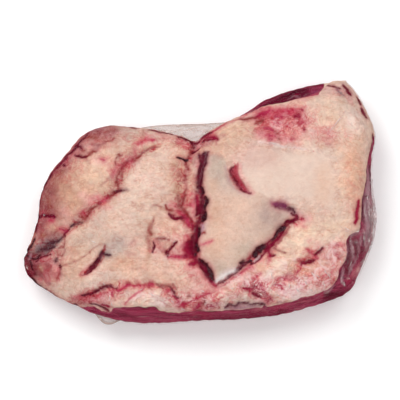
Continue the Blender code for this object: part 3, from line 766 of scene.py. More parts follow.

# Strokes of colour that cut into the meat: tone, half the width, strength, depth and the line.
# Their order counts: later ones lie on earlier ones, and the threads are drawn in it.
# a dark line along the lower left edge: partly painted shade, partly dark meat
# a near-white band along the membrane's right edge: painted highlight
# a painted glint on the knob
# painted highlight
# the back lobe's rim: dark lines that are partly painted shade along the edge and partly dark meat
STROKES = rows_in("""
# dark bands under the membrane's edges
wine 2.3 0.8 0.6 8,47 4,32 0,12 2,-4 2,-20 -4,-38 -7,-56 -4,-72 7,-85 15,-99
wine 1.5 0.75 0.6 18,-101 32,-92 46,-80 58,-69 70,-58 82,-48 92,-38 104,-30
red 1.6 0.5 0.2 22,-103 36,-94 50,-83 62,-72 74,-61 86,-51 96,-41
# the back lobe's rim
maroon 2.2 0.85 0 -182,-8 -181,2 -177,12 -171,21 -165,28
wine 2.6 0.85 0.3 -164,31 -158,37 -153,41 -149,45
maroon 2.2 0.8 0 -151,47 -144,52 -138,59 -131,66 -125,72
maroon 1.5 0.5 0 -124,73 -116,79 -106,83 -90,84 -74,82
maroon 2 0.85 0.4 -151.5,36 -150,34.5
brown 1.6 0.6 0.3 -156,30 -153,29
maroon 1.5 0.9 0.9 -141,59.5 -137,58 -134,55.5 -132,52
brown 1.6 0.6 0.4 -132,52 -130,50 -128,50
maroon 2.1 0.85 1 -139,47 -135,45.5 -131,43.5 -126,43.5
brown 1.5 0.7 0.7 -126,44 -122.5,46 -119,48.5 -115,48
brown 1.3 0.6 0.6 -133,68 -130,67 -122,66.5 -117,65
brown 1.3 0.6 0.6 -106,60.5 -103,59.5 -97.5,61 -94,63.5
red 1.8 0.6 0.3 -109,38.5 -105,38
brown 1.4 0.5 0.6 -89,44.5 -92,40 -93,35 -92.5,32
brown 1.8 0.65 0.4 -90,43.5 -86.5,43
maroon 1.4 0.6 0.4 -78,81.5 -68,80.5
maroon 1.6 0.85 0.5 -57,78 -50,76 -43,74 -38,74.5 -33,73.5 -28,71.5
maroon 2.2 0.9 0.5 -24,69.5 -19,67.5 -14,65.5 -9,63 -5,61
# the long seam between the back lobe and the middle lobe, down to the shank
clay 1.6 0.75 0.5 -46,54.5 -52,53 -57,50.5 -63,47 -68,43
brown 1.5 0.6 0.8 -67,44 -71,40 -75,38
red 2 0.4 0.8 -75,38 -80,35.5 -84,32.5 -86,29
brown 1.3 0.6 0.8 -79,37 -84,31 -87,27 -91,21
brown 1.3 0.6 0.6 -86,25 -87.5,20 -87,16
brown 1.5 0.7 0.7 -91,20 -91,13 -90.5,7
red 2 0.75 0.3 -53.5,62.5 -50.5,62.5
red 1.8 0.4 0.2 -68,57 -61,61 -56,62
plum 1.8 0.8 1 -95,3 -91,4 -87,5
maroon 1.6 0.8 0.6 -94.5,3 -92,3.5
plum 1.4 0.45 0.3 -86,4 -80,4.5
brown 1.8 0.85 1 -94,3 -97,0.5 -101,-3
red 1.6 0.6 1 -101,-3 -106,-6.5 -111,-10
brown 1.4 0.7 1 -110,-9.5 -114.5,-13 -118.5,-16.5 -124,-19.5
red 2.2 0.4 0.5 -126,-21 -130,-21.5
brown 1.5 0.7 0.9 -121,-20 -127,-25 -133,-25
plum 2 0.65 0.8 -130,-30 -135,-31 -139,-33
ink 1.3 0.75 0.8 -139,-32 -144,-35.5
maroon 1.5 0.85 1 -145,-37.5 -148,-40 -151,-42.5 -151,-45
red 1.8 0.6 0.8 -148,-40 -152,-39 -156,-37
brown 1 0.5 0.4 -149.5,-44 -149,-50 -149.5,-56
ink 1.3 0.6 0.5 -153,-45 -157,-49 -164,-51 -172,-52
ink 1.2 0.6 0.6 -160,-55 -168,-57 -178,-57
ink 1.1 0.5 0.4 -164,-60 -172,-62 -182,-63
brown 1.1 0.5 0.5 -155,-58 -151,-56 -148,-59 -149,-63 -152,-66 -156,-65
# the shank
maroon 3 0.9 0.3 -183,-16 -184,-24 -184,-34
maroon 1.5 0.8 0.6 -182,-20 -177,-19 -172,-20
wine 1.8 0.95 1.2 -172,-20 -168,-21.5 -163,-22.5 -161,-24
red 2.2 0.6 0.3 -168,-25 -164,-27
brown 1.6 0.5 0.4 -180,-28 -176,-31
soot 2.2 0.8 0.6 -185,-44 -190,-53 -196,-60 -199,-66
soot 1.8 0.8 0.6 -194,-62 -188,-66 -182,-66 -177,-63
soot 1.6 0.8 0.6 -190,-68 -187,-74 -185,-80
maroon 2 0.85 0.3 -198,-68 -199,-76 -196,-86 -189,-91
maroon 2.4 0.9 0.3 -194,-74 -193,-82 -189,-87
blush 0.9 0.8 0 -194,-74 -192,-79
lilac 1 0.7 0 -190,-62 -191,-67
maroon 1.4 0.8 0.7 -182,-70 -178,-66.5 -172,-64.5 -165,-64
soot 2.4 0.8 0.4 -188,-90 -184,-94 -180,-99 -174,-103
maroon 1.8 0.85 0.2 -174,-103 -168,-106 -160,-111 -150,-116 -138,-120
ink 2 0.6 0.7 -158,-69 -159.5,-73
maroon 2.2 0.8 0.8 -155,-76.5 -154,-80
brown 2 0.45 0.4 -155,-82 -158,-92
clay 1.3 0.4 0.6 -153,-77.5 -144.5,-75.5 -135.5,-73.5 -127.5,-68.5 -121,-63.5
clay 1.1 0.45 0.3 -121,-63.5 -116,-60 -112,-57
# the slit over the shank
brown 1.2 0.85 0.9 -104,-57 -105,-61 -107,-65
plum 2.2 0.9 1.4 -107,-65 -110,-70 -113,-74
maroon 2.1 0.95 1.6 -111,-71.5 -115,-77.5 -120,-82 -124,-85.5
rosewood 1.3 0.5 0.3 -122,-84 -126,-87 -131,-89
ink 1.7 0.85 0.6 -107,-65.5 -102,-67 -98,-67.5
# under the notch
wine 2.6 0.9 0.8 -8,61 -5,61 -1,64
maroon 2.2 0.7 0.6 -10,60 -7,57 -6,54
blood 4.4 0.95 0.8 3,66 6,69.5 9,70
maroon 2.6 0.9 0.6 4,68 8,71 12,71
wine 2.2 0.85 0.5 3,59.5 8,61 14,62 19,61.5
blood 2 0.8 0.4 8,65 14,64 18,62
red 1.6 0.55 0.3 13,71.5 18,75 23,78 29,81
maroon 1.4 0.9 1.2 -9,47.5 -6,49.5 -1.5,51.5
brown 1.6 0.6 0.7 -8,55 -10,49 -12,43 -13,40
soot 1.5 0.95 1.4 -25,41 -22,39.8 -19,39.5 -16,37.5
soot 1.9 0.95 1.4 -16,37 -13.5,37.5
# the middle seam and its wrinkles
brown 1.4 0.7 0.9 -15,35 -14,30 -13.5,27
brown 1.2 0.5 0.7 -17,26 -16,21 -17,15
brown 1.1 0.5 0.7 -19,13 -16,10.5 -15.5,4
brown 1.4 0.75 0.9 -16,5 -17,0 -18.5,-7 -20,-14
brown 1.4 0.75 0.9 -20,-14 -19,-17 -17,-20 -14,-23
clay 1.1 0.7 0.6 -23.5,-2 -23,-8 -23,-16
red 1.8 0.6 0.3 -12,-12 -9.5,-13
brown 1.2 0.85 0.7 -38,-13 -37,-16 -35.5,-18
brown 1.8 0.7 0.5 -34,-19 -31,-18.5
clay 1.2 0.5 0.3 -51,-13 -46,-14 -42,-15
wine 1.9 0.9 1.1 -34,-23 -31,-25.5 -27,-27.5 -22,-27.5
wine 2.4 0.9 1.2 -23,-27 -19,-27.5 -16,-26.5
red 2.4 0.8 0.6 -17,-25 -14,-30 -12,-35
blood 2 0.75 0.7 -10,-29 -8,-34 -8,-39
brown 1.2 0.7 0.7 -17,-21 -12,-27 -9,-33
red 1.8 0.6 0.4 -22,-21 -18,-24
# the pocket below it
clay 1.5 0.5 0.8 -50,-26 -51,-31 -53,-35 -56,-40
brown 1.6 0.55 1 -56,-39 -55.5,-42 -53.5,-45
clay 1.5 0.5 0.9 -54,-45 -57.5,-49 -56,-55 -55,-62
maroon 1.4 0.95 1.4 -51,-54 -50.5,-58 -51.5,-61 -52,-65
brown 1.2 0.65 0.7 -47,-50 -42,-50.5 -37,-51 -33,-52.5
wine 1.4 0.95 1.6 -26,-54 -29,-57.5 -32,-61 -35,-64.5
maroon 1.9 0.85 1.2 -36.5,-64.5 -35,-69
red 1.5 0.75 0.8 -35,-70 -28,-69.5 -20,-70 -11,-70
maroon 1.3 0.7 0.6 -17,-69.5 -13,-69
red 1.5 0.5 0.3 -23.5,-72 -23,-74
red 1.2 0.5 0.4 -50,-66 -48.5,-65
# the membrane's left edge
plum 2.8 0.95 1.2 3,43 7,43.5
maroon 2.4 0.9 1.2 -2,44 0,40 1.5,34
wine 3.2 0.92 1.4 4,40 3,34 1.5,29
ink 1.6 0.85 1 6,40 5.5,35 5,31
maroon 3.1 0.96 1.6 2,31 1,25 0,20 -1.5,14 -2,8
ink 1.8 0.75 1 6,46 3.5,36 1.5,24 -0.5,14 -1,6
plum 1.4 0.6 0.6 2,20 2,14 2.5,11
soot 2 0.97 0.8 0.5,8 2.5,5 3,2 1.5,0
plum 1.8 0.6 0.6 -4,3 -1,2
blood 2.8 0.95 1.4 -3.5,-3 -3,-8 -2,-13 -1.5,-20
maroon 2.4 0.9 1.2 -1,-15 -1.5,-20 -4,-24
plum 2 0.8 0.8 1,-2 2,-6 2,-12 1,-18 1,-24
soot 2.3 0.95 0.6 5,-3.5 7,-6.5 7,-10 5,-13 4.5,-16
ink 1.3 0.6 0.4 4.5,-15 5,-19 4,-22
soot 3.2 0.97 0.8 5,-22 4.5,-26 2.5,-30
lilac 2.4 0.7 0 1,-34 3,-38 1,-42
maroon 3 0.95 1.2 -4,-37 -3.5,-42 -3,-47 -4,-53
soot 1.9 0.95 1 -1.5,-38 -1.5,-43 -2.5,-49
maroon 2.2 0.8 0.8 -8,-47 -8,-53 -12,-54
blood 5 0.92 0.8 -13,-56 -13,-61 -11,-66
wine 3.6 0.92 1 -8,-54 -8,-60 -7,-67
soot 3 0.97 1.2 -5,-56 -4,-60 -2,-63.5
soot 1.6 0.9 1 -5,-66 -5,-69
blood 2.2 0.8 0.8 -19,-70 -14,-69 -8,-71
blood 2.6 0.85 0.8 -4,-72 -6,-77 -11,-79
soot 2 0.95 1 -1,-73 3,-75.5 7,-79
maroon 3.4 0.96 1.4 0,-76 5,-81 9,-86 12,-91
soot 2.2 0.92 1.2 7,-80 10,-85 12,-90 14,-96
wine 2.6 0.8 0.8 2,-81 6,-87 11,-94 13,-98
red 2 0.8 0.6 14,-98 17,-102
brown 1.3 0.9 0.4 2,-45.5 4,-44 5.5,-45
rose 2 0.7 0.1 2,-57 5,-56 9,-54 13,-53
# the membrane's right edge
wax 2.4 0.85 0 17,-97 22,-93.5 28,-90 34,-86.5 40,-84
maroon 1.5 0.85 1 21,-98 25,-96.5 29,-94 31,-91
plum 1.6 0.75 0.8 31,-91.5 35,-89.5 40,-86 43,-82
ink 1.6 0.6 0.5 42,-83 45,-80 46,-77
soot 1.6 0.8 0.5 44,-77.5 47,-75 47,-78
plum 2.8 0.6 0.4 48,-79 51,-77
soot 1.5 0.95 0.8 51,-75.5 55,-75 55.5,-78.5
red 1.4 0.55 0.4 51,-83 54,-82 57,-82
maroon 1.5 0.85 1.2 57,-77.5 60,-75 63,-72 67,-68 71,-65
wax 0.9 0.7 0 58,-75 61,-72 64,-69
soot 3.4 0.98 0.8 60,-68 63,-64 66,-60.5 70,-58
soot 2 0.9 0.5 59.5,-70 60,-66
ink 2 0.8 0.5 68,-61 73,-60
wine 3 0.92 1.4 72,-63 75,-59 80,-56.5
blood 2.6 0.85 0.8 74,-62 75.5,-66 76,-69
wine 1.6 0.95 0.5 77.5,-69 80.5,-68.5
wine 1.9 0.95 1.4 78,-57 83,-52 87,-48 91,-42
soot 2 0.95 0.6 78,-53 79.5,-51
soot 1.5 0.92 0.7 80,-51 83,-47 84.5,-44
soot 3 0.98 0.8 85,-43 88,-40.5 92,-38.5
maroon 1.6 0.7 0.5 92,-37 93,-35 94,-33
wine 2 0.96 1 94,-33 97,-31.5 101,-31.5 104,-30 107,-30
clay 1.3 0.85 0.4 97,-38 95,-42.5 92,-47 88,-52 84,-56 82,-59
clay 1.1 0.8 0.6 80,-61 83,-62.5 87,-64 90,-65.5 93,-65.5
blood 1.5 0.85 0.4 111,-28.5 112.5,-28.5
plum 2.4 0.75 0.6 91,-16 95,-18 99,-20
ink 1.5 0.75 0.4 97,-17 101,-19.5 104,-22
maroon 1.8 0.85 0.6 100,-23 104,-25 107,-28
violet 3.8 0.8 0 81,-13.5 87,-14 92,-15.5
plum 1.8 0.5 0 81,-16 84,-17 89,-18
plum 2.2 0.5 0 85,-14 89,-14.5
maroon 1.3 0.75 0.2 37,30 32.5,26 34.5,20 38.5,13 44,6 50,1 55,-0.5
maroon 1.5 0.6 0.2 34,28 35,25
# the fold along the front
maroon 1.5 0.85 1.2 -131,-111 -125,-110 -119.5,-109 -113.5,-106
maroon 2.1 0.8 1.6 -114,-107 -108,-104 -103,-102 -98,-101.5
maroon 1.5 0.75 0.9 -98,-101.5 -95,-102 -91,-103
red 1.8 0.75 0.6 -95.5,-104 -96,-108 -95.5,-112
red 1.5 0.75 0.7 -91,-105 -87,-105.5 -83,-102 -79.5,-99
red 1.8 0.7 0.7 -82,-101.5 -77,-100.5 -72,-101.5
red 1.2 0.55 0.6 -72,-101.5 -66,-101 -60,-100.5
red 2.4 0.7 0.6 -56,-101 -53,-100.5 -51,-101
clay 1.3 0.8 0.8 -48,-100 -43,-102 -37,-102 -32,-104
maroon 1.7 0.85 1.1 -32,-104 -29,-108 -27,-113 -23.5,-115.5
red 2.2 0.55 0.4 -35,-106 -33,-109
clay 1.2 0.7 0.5 -29.5,-100.5 -27,-103 -25.5,-104
rose 1.3 0.8 0.6 -60,-102 -64,-106 -70,-110.5 -75,-114.5 -82,-121
blood 2.2 0.85 0.4 -107,-121 -103,-122 -100,-124
maroon 2 0.9 0.6 -120,-120 -113,-121.5 -107,-125 -102,-129
red 1.6 0.7 0.3 -24,-122 -20,-121.5 -17,-121
red 1.2 0.5 0.3 -25,-117 -22,-120
red 1.5 0.7 0.2 -22,-125 -13,-120.5 -5,-117 3,-112.5 12,-110
red 2.8 0.75 0.3 -6,-127 -2,-125 1,-122
brown 1.4 0.8 0.5 3,-116 5,-119 4,-122.5
red 2 0.7 0.4 9,-125.5 12,-125 15,-125
red 1.5 0.7 0.2 -30,-112 -25,-117 -21,-121.5 -16,-126
red 1.3 0.55 0.3 17,-122 20.5,-122
clay 1.4 0.8 0.4 -13,-113.5 -9.5,-114
red 1.4 0.45 0.3 5,-111.5 10,-110.5
maroon 1.4 0.7 0.4 -16,-131 -8,-131 -1,-129.5 8,-131 20,-133
plum 1.5 0.85 0.7 27,-126.5 32,-124 38,-125 44,-122 52,-121.5
plum 1.5 0.85 0.7 52,-121.5 57,-122.5 64,-121.5 70,-122 71,-125
lilac 1.4 0.6 0 36,-127 46,-126 58,-125.5 67,-125
# the right shoulder's cut face
wine 1.6 0.9 1.4 134,-61.5 131,-64 126,-68
red 1.3 0.7 0.6 116,-62 119,-65 123,-68
red 1.5 0.7 0.7 126,-68 127,-71 127.5,-73
wine 1.7 0.92 1.5 125,-73 122,-74.5 117,-75.5 112,-76.5
blood 1.8 0.9 1 112,-76 111,-79
red 1.2 0.75 0.8 110.5,-80 109,-84 104.5,-87.5
red 1.5 0.5 0.4 86,-94 91,-93.5 97,-95 106,-94
red 1.8 0.7 0.5 82,-101.5 86,-102 89,-105 92,-109
blood 1.6 0.9 0.8 47,-105 51,-106 54,-107 54.5,-109
wine 1.6 0.85 0.8 61,-103 58.5,-103.5 57.5,-107
red 2 0.65 0 55,-107 61,-105.5 68,-107.5 72,-112
red 1.3 0.7 0 66,-101 68.5,-107 74,-113 80,-118
red 1.9 0.75 0.5 62.5,-98.5 65,-101 65.5,-104
wine 1.5 0.9 1 57.5,-110.5 60,-112.5 66,-115
blood 1.8 0.75 0.3 71,-116 74,-118.5 77.5,-116
plum 1 0.45 0.3 84,-119 88,-119.5 93,-120.5
red 1.8 0.5 0.3 59,-95 62,-92 65,-89
red 1.8 0.4 0.2 147,-57 152,-57.5
red 1.5 0.5 0.3 148,-66.5 150,-69 152,-71
blood 2.3 0.95 0.6 173.5,-8 173,-14 171.5,-20 171,-26 169,-33
# the raw patch at the back
blood 2.4 0.8 0.4 61,87 66,89.5 71,90
red 3.6 0.8 0.4 66,92 71,92 76,94
brown 1.6 0.85 0.6 44,87.5 50,85 57,86.5 62,86.5
brown 2.2 0.8 0.5 63,82 66.5,82 69,83.5
brown 1.5 0.5 0.4 61,79 65,80
red 3.4 0.7 0.5 82,85.5 86,88 91,87
red 2.6 0.5 0.3 78,96 92,94 104,95
blood 3.2 0.9 0.6 105,87 109,88 110,86
blood 1.7 0.8 0.4 112,95.5 114.5,94
red 2.2 0.7 0.3 109,79 113,80
blood 1.6 0.75 0.4 114.5,74 115,70
red 2.6 0.7 0.3 71,74 76,73.5 81,71.5
brown 1.6 0.5 0.3 82,69 86,68.5
red 3.4 0.55 0.3 74,65.5 82,64.5
red 2.4 0.5 0.3 74,60 79,60
brown 1.6 0.6 0.3 86,62.5 88,61.5
red 1.6 0.55 0.3 100,61 104,61
red 0.9 0.45 0.4 92,75 98,79 103,80
red 2.2 0.5 0.3 84,80 90,80.5
red 2 0.5 0.3 96,91 102,90
# the corner at the back right
maroon 1.5 0.85 0.5 142,129 148,127.5 153,125 157,122
slate 1.6 0.6 0.3 152,123 155,118 160,113
wine 2.6 0.9 0.4 161,128 165,122 168,115
wine 1.8 0.85 0.4 177,114 181,107
wine 2.4 0.9 0.4 182,101 184,96 188,91
maroon 1.6 0.85 0.4 195.5,72 194.5,60 192,46 189,38
""")

# Soft colour in the lean that shows at the sides: tone, half the width, strength and the line
# a dark line just under the widest line at the front: partly painted shade, partly darker lean
# a dark line just under the widest line: partly painted shade, partly darker lean
# a painted glint on a pleat
# the pleats below it; here too the near-white strokes are painted highlights
# the right rim and bulge; the near-white strokes are painted highlights on the film's pleats
LEAN_STROKES = rows_in("""
# the back
plum 9 0.95 70,108 92,114 112,119 124,124
wine 8 0.6 76,110 96,117 112,121 122,123
plum 8 0.7 76,110 96,117 112,121 122,123
violet 4 0.7 124,119 130,122 137,124
soot 8 0.35 60,103 76,110 96,116 112,120 122,122
wine 5 0.5 56,102 76,109 100,114
rose 1.6 0.4 104,110 118,113 131,116 136,121
soot 2.6 0.8 48,96 58,102 70,107 80,111
soot 2 0.7 80,112 92,118 106,124 120,129 132,132
maroon 2 0.6 76,105.5 88,107.5 98,108
blood 1.6 0.6 104,115 108,118 112,119
lilac 1 0.35 96,112 104,117 112,113 120,119
# the right rim and bulge
lilac 6 0.85 190,40 189,20 189,0 190,-20 189,-40 185,-56
maroon 1.7 0.9 191,44 188,34 185.7,23 183.4,10.5 182,0
ink 1.5 0.85 193.5,40 192.6,23 193.2,11 194,1
maroon 1.4 0.85 182,0 188,-0.5 194,0
ink 1.9 0.9 184.8,-1 182,-8.5 181,-18 182,-27 184,-34
maroon 1.6 0.8 179.5,-6 178.5,-16 178,-28 177,-40
wax 1 0.55 186,-8 185.2,-18 186.7,-30
plum 1.2 0.6 187,-4 189,-12 191,-21 192,-31
wax 1.2 0.5 192,-6 194.6,-20 193.6,-30
ink 1.2 0.7 196.4,-10 195,-22 193.4,-34 190.4,-43 187.6,-53
plum 1.2 0.8 186.7,-36 188.5,-44 187.6,-50
wax 0.9 0.55 182,-38 184.8,-49 186.7,-58
lilac 2.4 0.65 187,-22 188,-33 187,-44
ash 3.4 0.9 200,20 200,-4 200,-26 197,-44 191,-60
lilac 2.4 0.5 163,-47 170,-44 177,-43
# the pleats below it
maroon 9 0.55 166,-50 168,-68 162,-90
maroon 2.4 0.8 164,-52 170,-52 177,-56 181,-63 181,-71
ink 1.5 0.85 184,-42 183.5,-50 182.5,-59
lilac 1.2 0.8 179,-44 179.5,-51 181,-58
lilac 1.8 0.6 162,-54 162,-64 160,-72 156,-79
plum 1.9 0.9 165,-53 164.5,-62 165,-72 163,-82
lilac 0.9 0.9 168,-54 169.5,-61 172,-69 176,-76
lilac 0.8 0.8 166,-49 168,-58 168.5,-66 170,-74
ink 0.9 0.8 171,-49 173,-57 176.5,-64 179,-69
lilac 0.8 0.8 174,-50 177,-57 180,-65
ink 0.9 0.8 161,-66 160,-76 156,-86
wine 1.2 0.7 167,-74 168,-84 166,-92
wax 0.7 0.6 171,-60 172.5,-66
wine 2.2 0.8 168.5,-62 169,-72 167,-82 164,-92
maroon 1.8 0.85 174,-57 176,-66 178,-73
lilac 1 0.8 173,-74 170,-82 167,-89
rose 2.2 0.75 181,-72 178,-80 174.5,-87 171,-92
blush 0.9 0.7 179.5,-77 176.5,-84
wine 1.8 0.85 154,-80 153.5,-87 151,-94 147,-102
ink 1.5 0.8 157,-82 156,-89 154,-96
lilac 1.8 0.85 158.5,-80 160,-87 158,-95 160,-101
wax 0.8 0.7 157,-92 157.5,-98 162,-102
ink 1.4 0.8 161,-90 161.5,-96
maroon 1.8 0.7 164,-82 166,-90
blush 1.6 0.8 166,-92 167,-94.5
red 2 0.7 163,-100 168,-96 172,-91
lilac 1 0.6 150,-100 146,-106 140,-109
red 3 0.7 133,-112 138,-113
blood 2.2 0.7 131,-108 136,-107.5
ash 1.4 0.5 140,-112 144,-108
soot 2.2 0.8 136,-115 143,-113 150,-110.5 157,-107
maroon 2 0.8 172,-97 168,-103 160,-107.5 150,-112 142,-116 133,-118
# the front
rose 1.3 0.6 108,-118 118,-115 130,-113
rose 1.2 0.55 104,-122 116,-120 126,-118
maroon 1.3 0.6 106,-120.5 117,-117 128,-115.5
red 2.4 0.5 76,-127 90,-125 102,-123
rose 1.2 0.5 56,-131 64,-130 76,-129
maroon 1.5 0.5 -30,-135 10,-135.5 50,-134 84,-130 110,-124
maroon 1.4 0.5 84,-129 98,-127.5
maroon 1.2 0.5 26,-130 40,-130.5 54,-129.5
red 1.4 0.5 -14,-133.5 0,-134 14,-134.5
silver 1.3 0.7 -92,-127 -86,-128
red 1.2 0.4 -82,-130.5 -66,-131.5 -52,-130 -38,-134
soot 1.4 0.6 -90,-125.5 -76,-126 -60,-128 -50,-127 -42,-131.5
maroon 1.8 0.7 -98,-131 -84,-135 -66,-137
""")

# Where the fat ends and the lean shows, as it is painted
LEAN_EDGE = points_in("""
-208,-64 -204,-92 -176,-114 -150,-122 -124,-123 -110,-128 -100,-131 -94,-127 -80,-125.5 -60,-127.5
-50,-126.5 -46,-129.5 -40,-132 -24,-133 -12,-131 0,-130.5 16,-133 24,-131 30,-129 48,-129.5 58,-128
68,-128 70,-124.5 80,-124 95,-121 103,-119 110,-114 119,-112 128,-110 134,-107 140,-106 146,-101 150,-94
153,-82 158,-77 161,-72 160,-60 161,-49 168,-44 176,-42 177,-26 179,-8 182,10 186,30 190,42 193,54
196,70 208,82 204,110 186,138 160,150 144,142 137,126 134,118 130,114 120,111 103,108.5 90,106.5
75,104.5 60,99.5 50,95.5 38,96 24,104 4,92 -24,92 -90,104 -124,98 -166,62 -196,20 -200,-20
""")


# The noise that painted edges wander by: the size of its lumps, how far they reach, seed
WANDER = [(13, 0.7, 3.1), (5.2, 0.9, 7.7), (2.7, 0.8, 15.3)]
# What the seeds are raised by for the second direction
WANDER_ASIDE = 8.8


@functools.lru_cache(maxsize=1)
def wandering():
    """The skin's places moved by a few millimetres of noise, so that painted edges wander."""
    places = pack_skin().places
    shift = np.column_stack([
        sum(reach * lumps_at(places, size, seed) for size, reach, seed in WANDER),
        sum(reach * lumps_at(places, size, seed + WANDER_ASIDE) for size, reach, seed in WANDER),
    ])
    return places + shift


class Laid:
    """A stroke laid on the skin: the points within its reach and how near each is to its line."""

    def __init__(self, places, half, points):
        line = curve_through(points, LINE_STEPS, closed=False)
        reach = STROKE_REACH * half + LIP
        near = (places > line.min(axis=0) - reach) & (places < line.max(axis=0) + reach)
        index = np.flatnonzero(near.all(axis=1))
        gap, share = nearest_on_line(places[index], line)
        close = gap < reach
        self.half, self.index, self.gap = half, index[close], gap[close]
        self.ends = np.sqrt(np.sin(np.pi * share[close]).clip(0))
        self.thick = 1 - STROKE_TAPER + STROKE_TAPER * np.sin(np.pi * share[close])

    def mask(self, width=1.0, more=0.0):
        """How much of the stroke lies on each of its points, when it is made so many times as wide."""
        return np.exp(-((self.gap / (self.half * width * self.thick + more)) ** 2))


def with_threads(strokes):
    """The strokes, and fine threads that branch off the bloody ones at random."""
    draw = np.random.default_rng(THREAD_SEED)
    threads = []
    for tone, half, strength, _, points in strokes:
        if tone not in THREADED_TONES:
            continue
        line = curve_through(points, LINE_STEPS, closed=False)
        length = np.linalg.norm(np.diff(line, axis=0), axis=1).sum()
        for _ in range(int(length / THREAD_EVERY + 0.5)):
            index = draw.integers(1, len(line) - 1)
            ahead = line[index + 1] - line[index - 1]
            turn = np.arctan2(ahead[1], ahead[0]) + draw.choice([-1, 1]) * draw.uniform(0.25, 0.9)
            reach = draw.uniform(*THREAD_LENGTH) + half
            bend = draw.uniform(-0.5, 0.5)
            shares = np.array([0, 0.5, 1])
            ways = turn + bend * shares
            steps = line[index] + reach * shares[:, None] * np.column_stack([np.cos(ways), np.sin(ways)])
            threads.append(("red", draw.uniform(*THREAD_HALF), strength * draw.uniform(0.2, 0.5), 0.3, steps))
    return [*threads, *strokes]


def oval_mask(places, along, across, degrees, strength, centres):
    """A soft oval round the one place, as strong as that in its middle."""
    turn = np.radians(degrees)
    x, y = (places - centres[0]).T
    u = (x * np.cos(turn) + y * np.sin(turn)) / along
    v = (-x * np.sin(turn) + y * np.cos(turn)) / across
    return strength * np.exp(-((u**2 + v**2) ** 1.3))


def strongest(places, ovals, least=0.0):
    """The strongest of the ovals at each place, and no less than that."""
    return np.maximum.reduce([np.full(len(places), least), *(oval_mask(places, *oval) for oval in ovals)])


@functools.lru_cache(maxsize=1)
def laid_strokes():
    """The meat's strokes, threads included, each laid on the skin."""
    return [
        (tone, strength, carve, Laid(wandering(), half, points))
        for tone, half, strength, carve, points in with_threads(STROKES)
    ]


# Tones as they look in the studio light, in sRGB from 0 to 255
TONES = {
    "fat": (231, 202, 184),
    "pale": (236, 211, 195),
    "cream": (238, 206, 180),
    "peach": (232, 193, 172),
    "tan": (213, 169, 144),
    "pink": (188, 130, 120),
    "rosewood": (158, 90, 94),
    "umber": (178, 118, 96),
    "clay": (164, 94, 92),
    "lilac": (190, 146, 156),
    "ash": (198, 178, 168),
    "wax": (236, 224, 220),
    "rosy": (194, 126, 126),
    "grey": (208, 184, 168),
    "slate": (140, 120, 122),
    "mauve": (216, 178, 166),
    # painted highlight: near-white glints on film folds and along edges
    "salmon": (228, 183, 156),
    "yellow": (250, 222, 196),
    # white: pale fat, and in some washes a painted highlight
    "white": (244, 225, 216),
    # painted highlight: the pale gleam of wrinkled film
    "gleam": (252, 224, 220),
    "bright": (252, 210, 201),
    "blush": (228, 170, 164),
    "rose": (208, 108, 120),
    "red": (184, 50, 82),
    "blood": (152, 20, 56),
    "wine": (114, 8, 40),
    "maroon": (98, 14, 36),
    "plum": (98, 30, 50),
    "brown": (146, 54, 54),
    "ink": (78, 32, 46),
    "soot": (60, 12, 24),
    "violet": (126, 50, 86),
    "silver": (200, 160, 160),
    "skin": (222, 191, 174),
    "skin_grey": (200, 178, 161),
    "skin_violet": (186, 156, 146),
    "raw": (218, 130, 134),
    "cut": (176, 62, 82),
}

# Areas with an edge: tone, outline, how soft the edge is, strength
AREAS = [
    ("mauve", PLATEAU, 12, 0.25),
    ("pale", PLATEAU, 12, 0.45),
    ("raw", PATCH, 6, 0.85),
    ("skin", MEMBRANE, 1.6, 0.95),
    ("cut", CRESCENT, 1.2, 0.98),
]
# The membrane's own tones, kept within it
MEMBRANE_GROUNDS = rows_in("""
skin_grey 16,32 14 26 -10 0.9
ash 28,16 24 13 -42 0.55
peach 22,-30 16 26 0 0.6
peach 42,-16 16 12 0 0.5
tan 12,10 8 10 30 0.5
tan 14,-22 10 14 10 0.6
peach 16,-58 10 12 0 0.6
tan 14,-62 14 16 0 0.35
skin_grey 20,-86 14 12 30 0.8
skin_violet 78,-24 18 16 40 0.85
ash 72,-34 24 13 42 0.2
skin_grey 48,-62 14 10 35 0.7
""")
# How bright the studio light is, which the tones allow for
LIGHT = 1.15
# How far a stroke is painted, in times its half width, and how much thinner its ends are
STROKE_REACH = 5.0
STROKE_TAPER = 0.3
# How many times as wide as the stroke its halo, its body and its tone are, and how strong the halo is
HALO = 2.1
BODY_WIDTH = 1.15
TONE_WIDTH = 1.5
HALO_STRENGTH = 0.5
# The tone of the halo round a mark, where it isn't rose
HALO_TONES = {
    "brown": "rosewood", "clay": "umber", "ink": "slate", "plum": "rosewood", "lilac": "lilac", "wax": "wax",
}
# How deep the strokes cut, as a share of the depth in their table, and the raised lips beside them
CARVING = 0.75
CUT_WIDTH = 0.8
LIP = 2.6
LIP_HEIGHT = 0.8
# The least that the meat lies under the base form
LEAST_GAP = 0.25
# Threads: the tones that they branch off, one in so many millimetres, their length and half width
THREADED_TONES = {"red", "blood", "wine", "maroon"}
THREAD_SEED = 5
THREAD_EVERY = 12.0
THREAD_LENGTH = (2.0, 6.0)
THREAD_HALF = (0.6, 1.0)
# Noise on the skin: the size of its lumps and a seed
BROKEN, FINE = (9, 21.0), (3.6, 33.0)
LOBES, SMALL_LOBES, LEAN_LUMPS = (11, 41.0), (5, 43.0), (7, 47.0)
FILM_WAVES, FILM_RIPPLES, HAZE_BREAKS = (16, 51.0), (7, 53.0), (12, 57.0)
WEB_WAVES, WEB_RIPPLES = (9, 61.0), (4, 63.0)
# How much the broken and the fine noise vary the grounds, the washes and the marks
GROUND_GRAIN, WASH_GRAIN, MARK_GRAIN = (0.45, 0.35), (0.3, 0.4), (0.12, 0.22)
# How soft the fat's painted edge and its step are
LEAN_SOFT, STEP_SOFT = 1.2, 1.5
CRESCENT_DEPTH = 0.9
# The hollow in the lean under the film's bulge: reach along and across, turn, depth and place
HOLLOW = (26, 8, 90, 0.8, [(196, -18)])

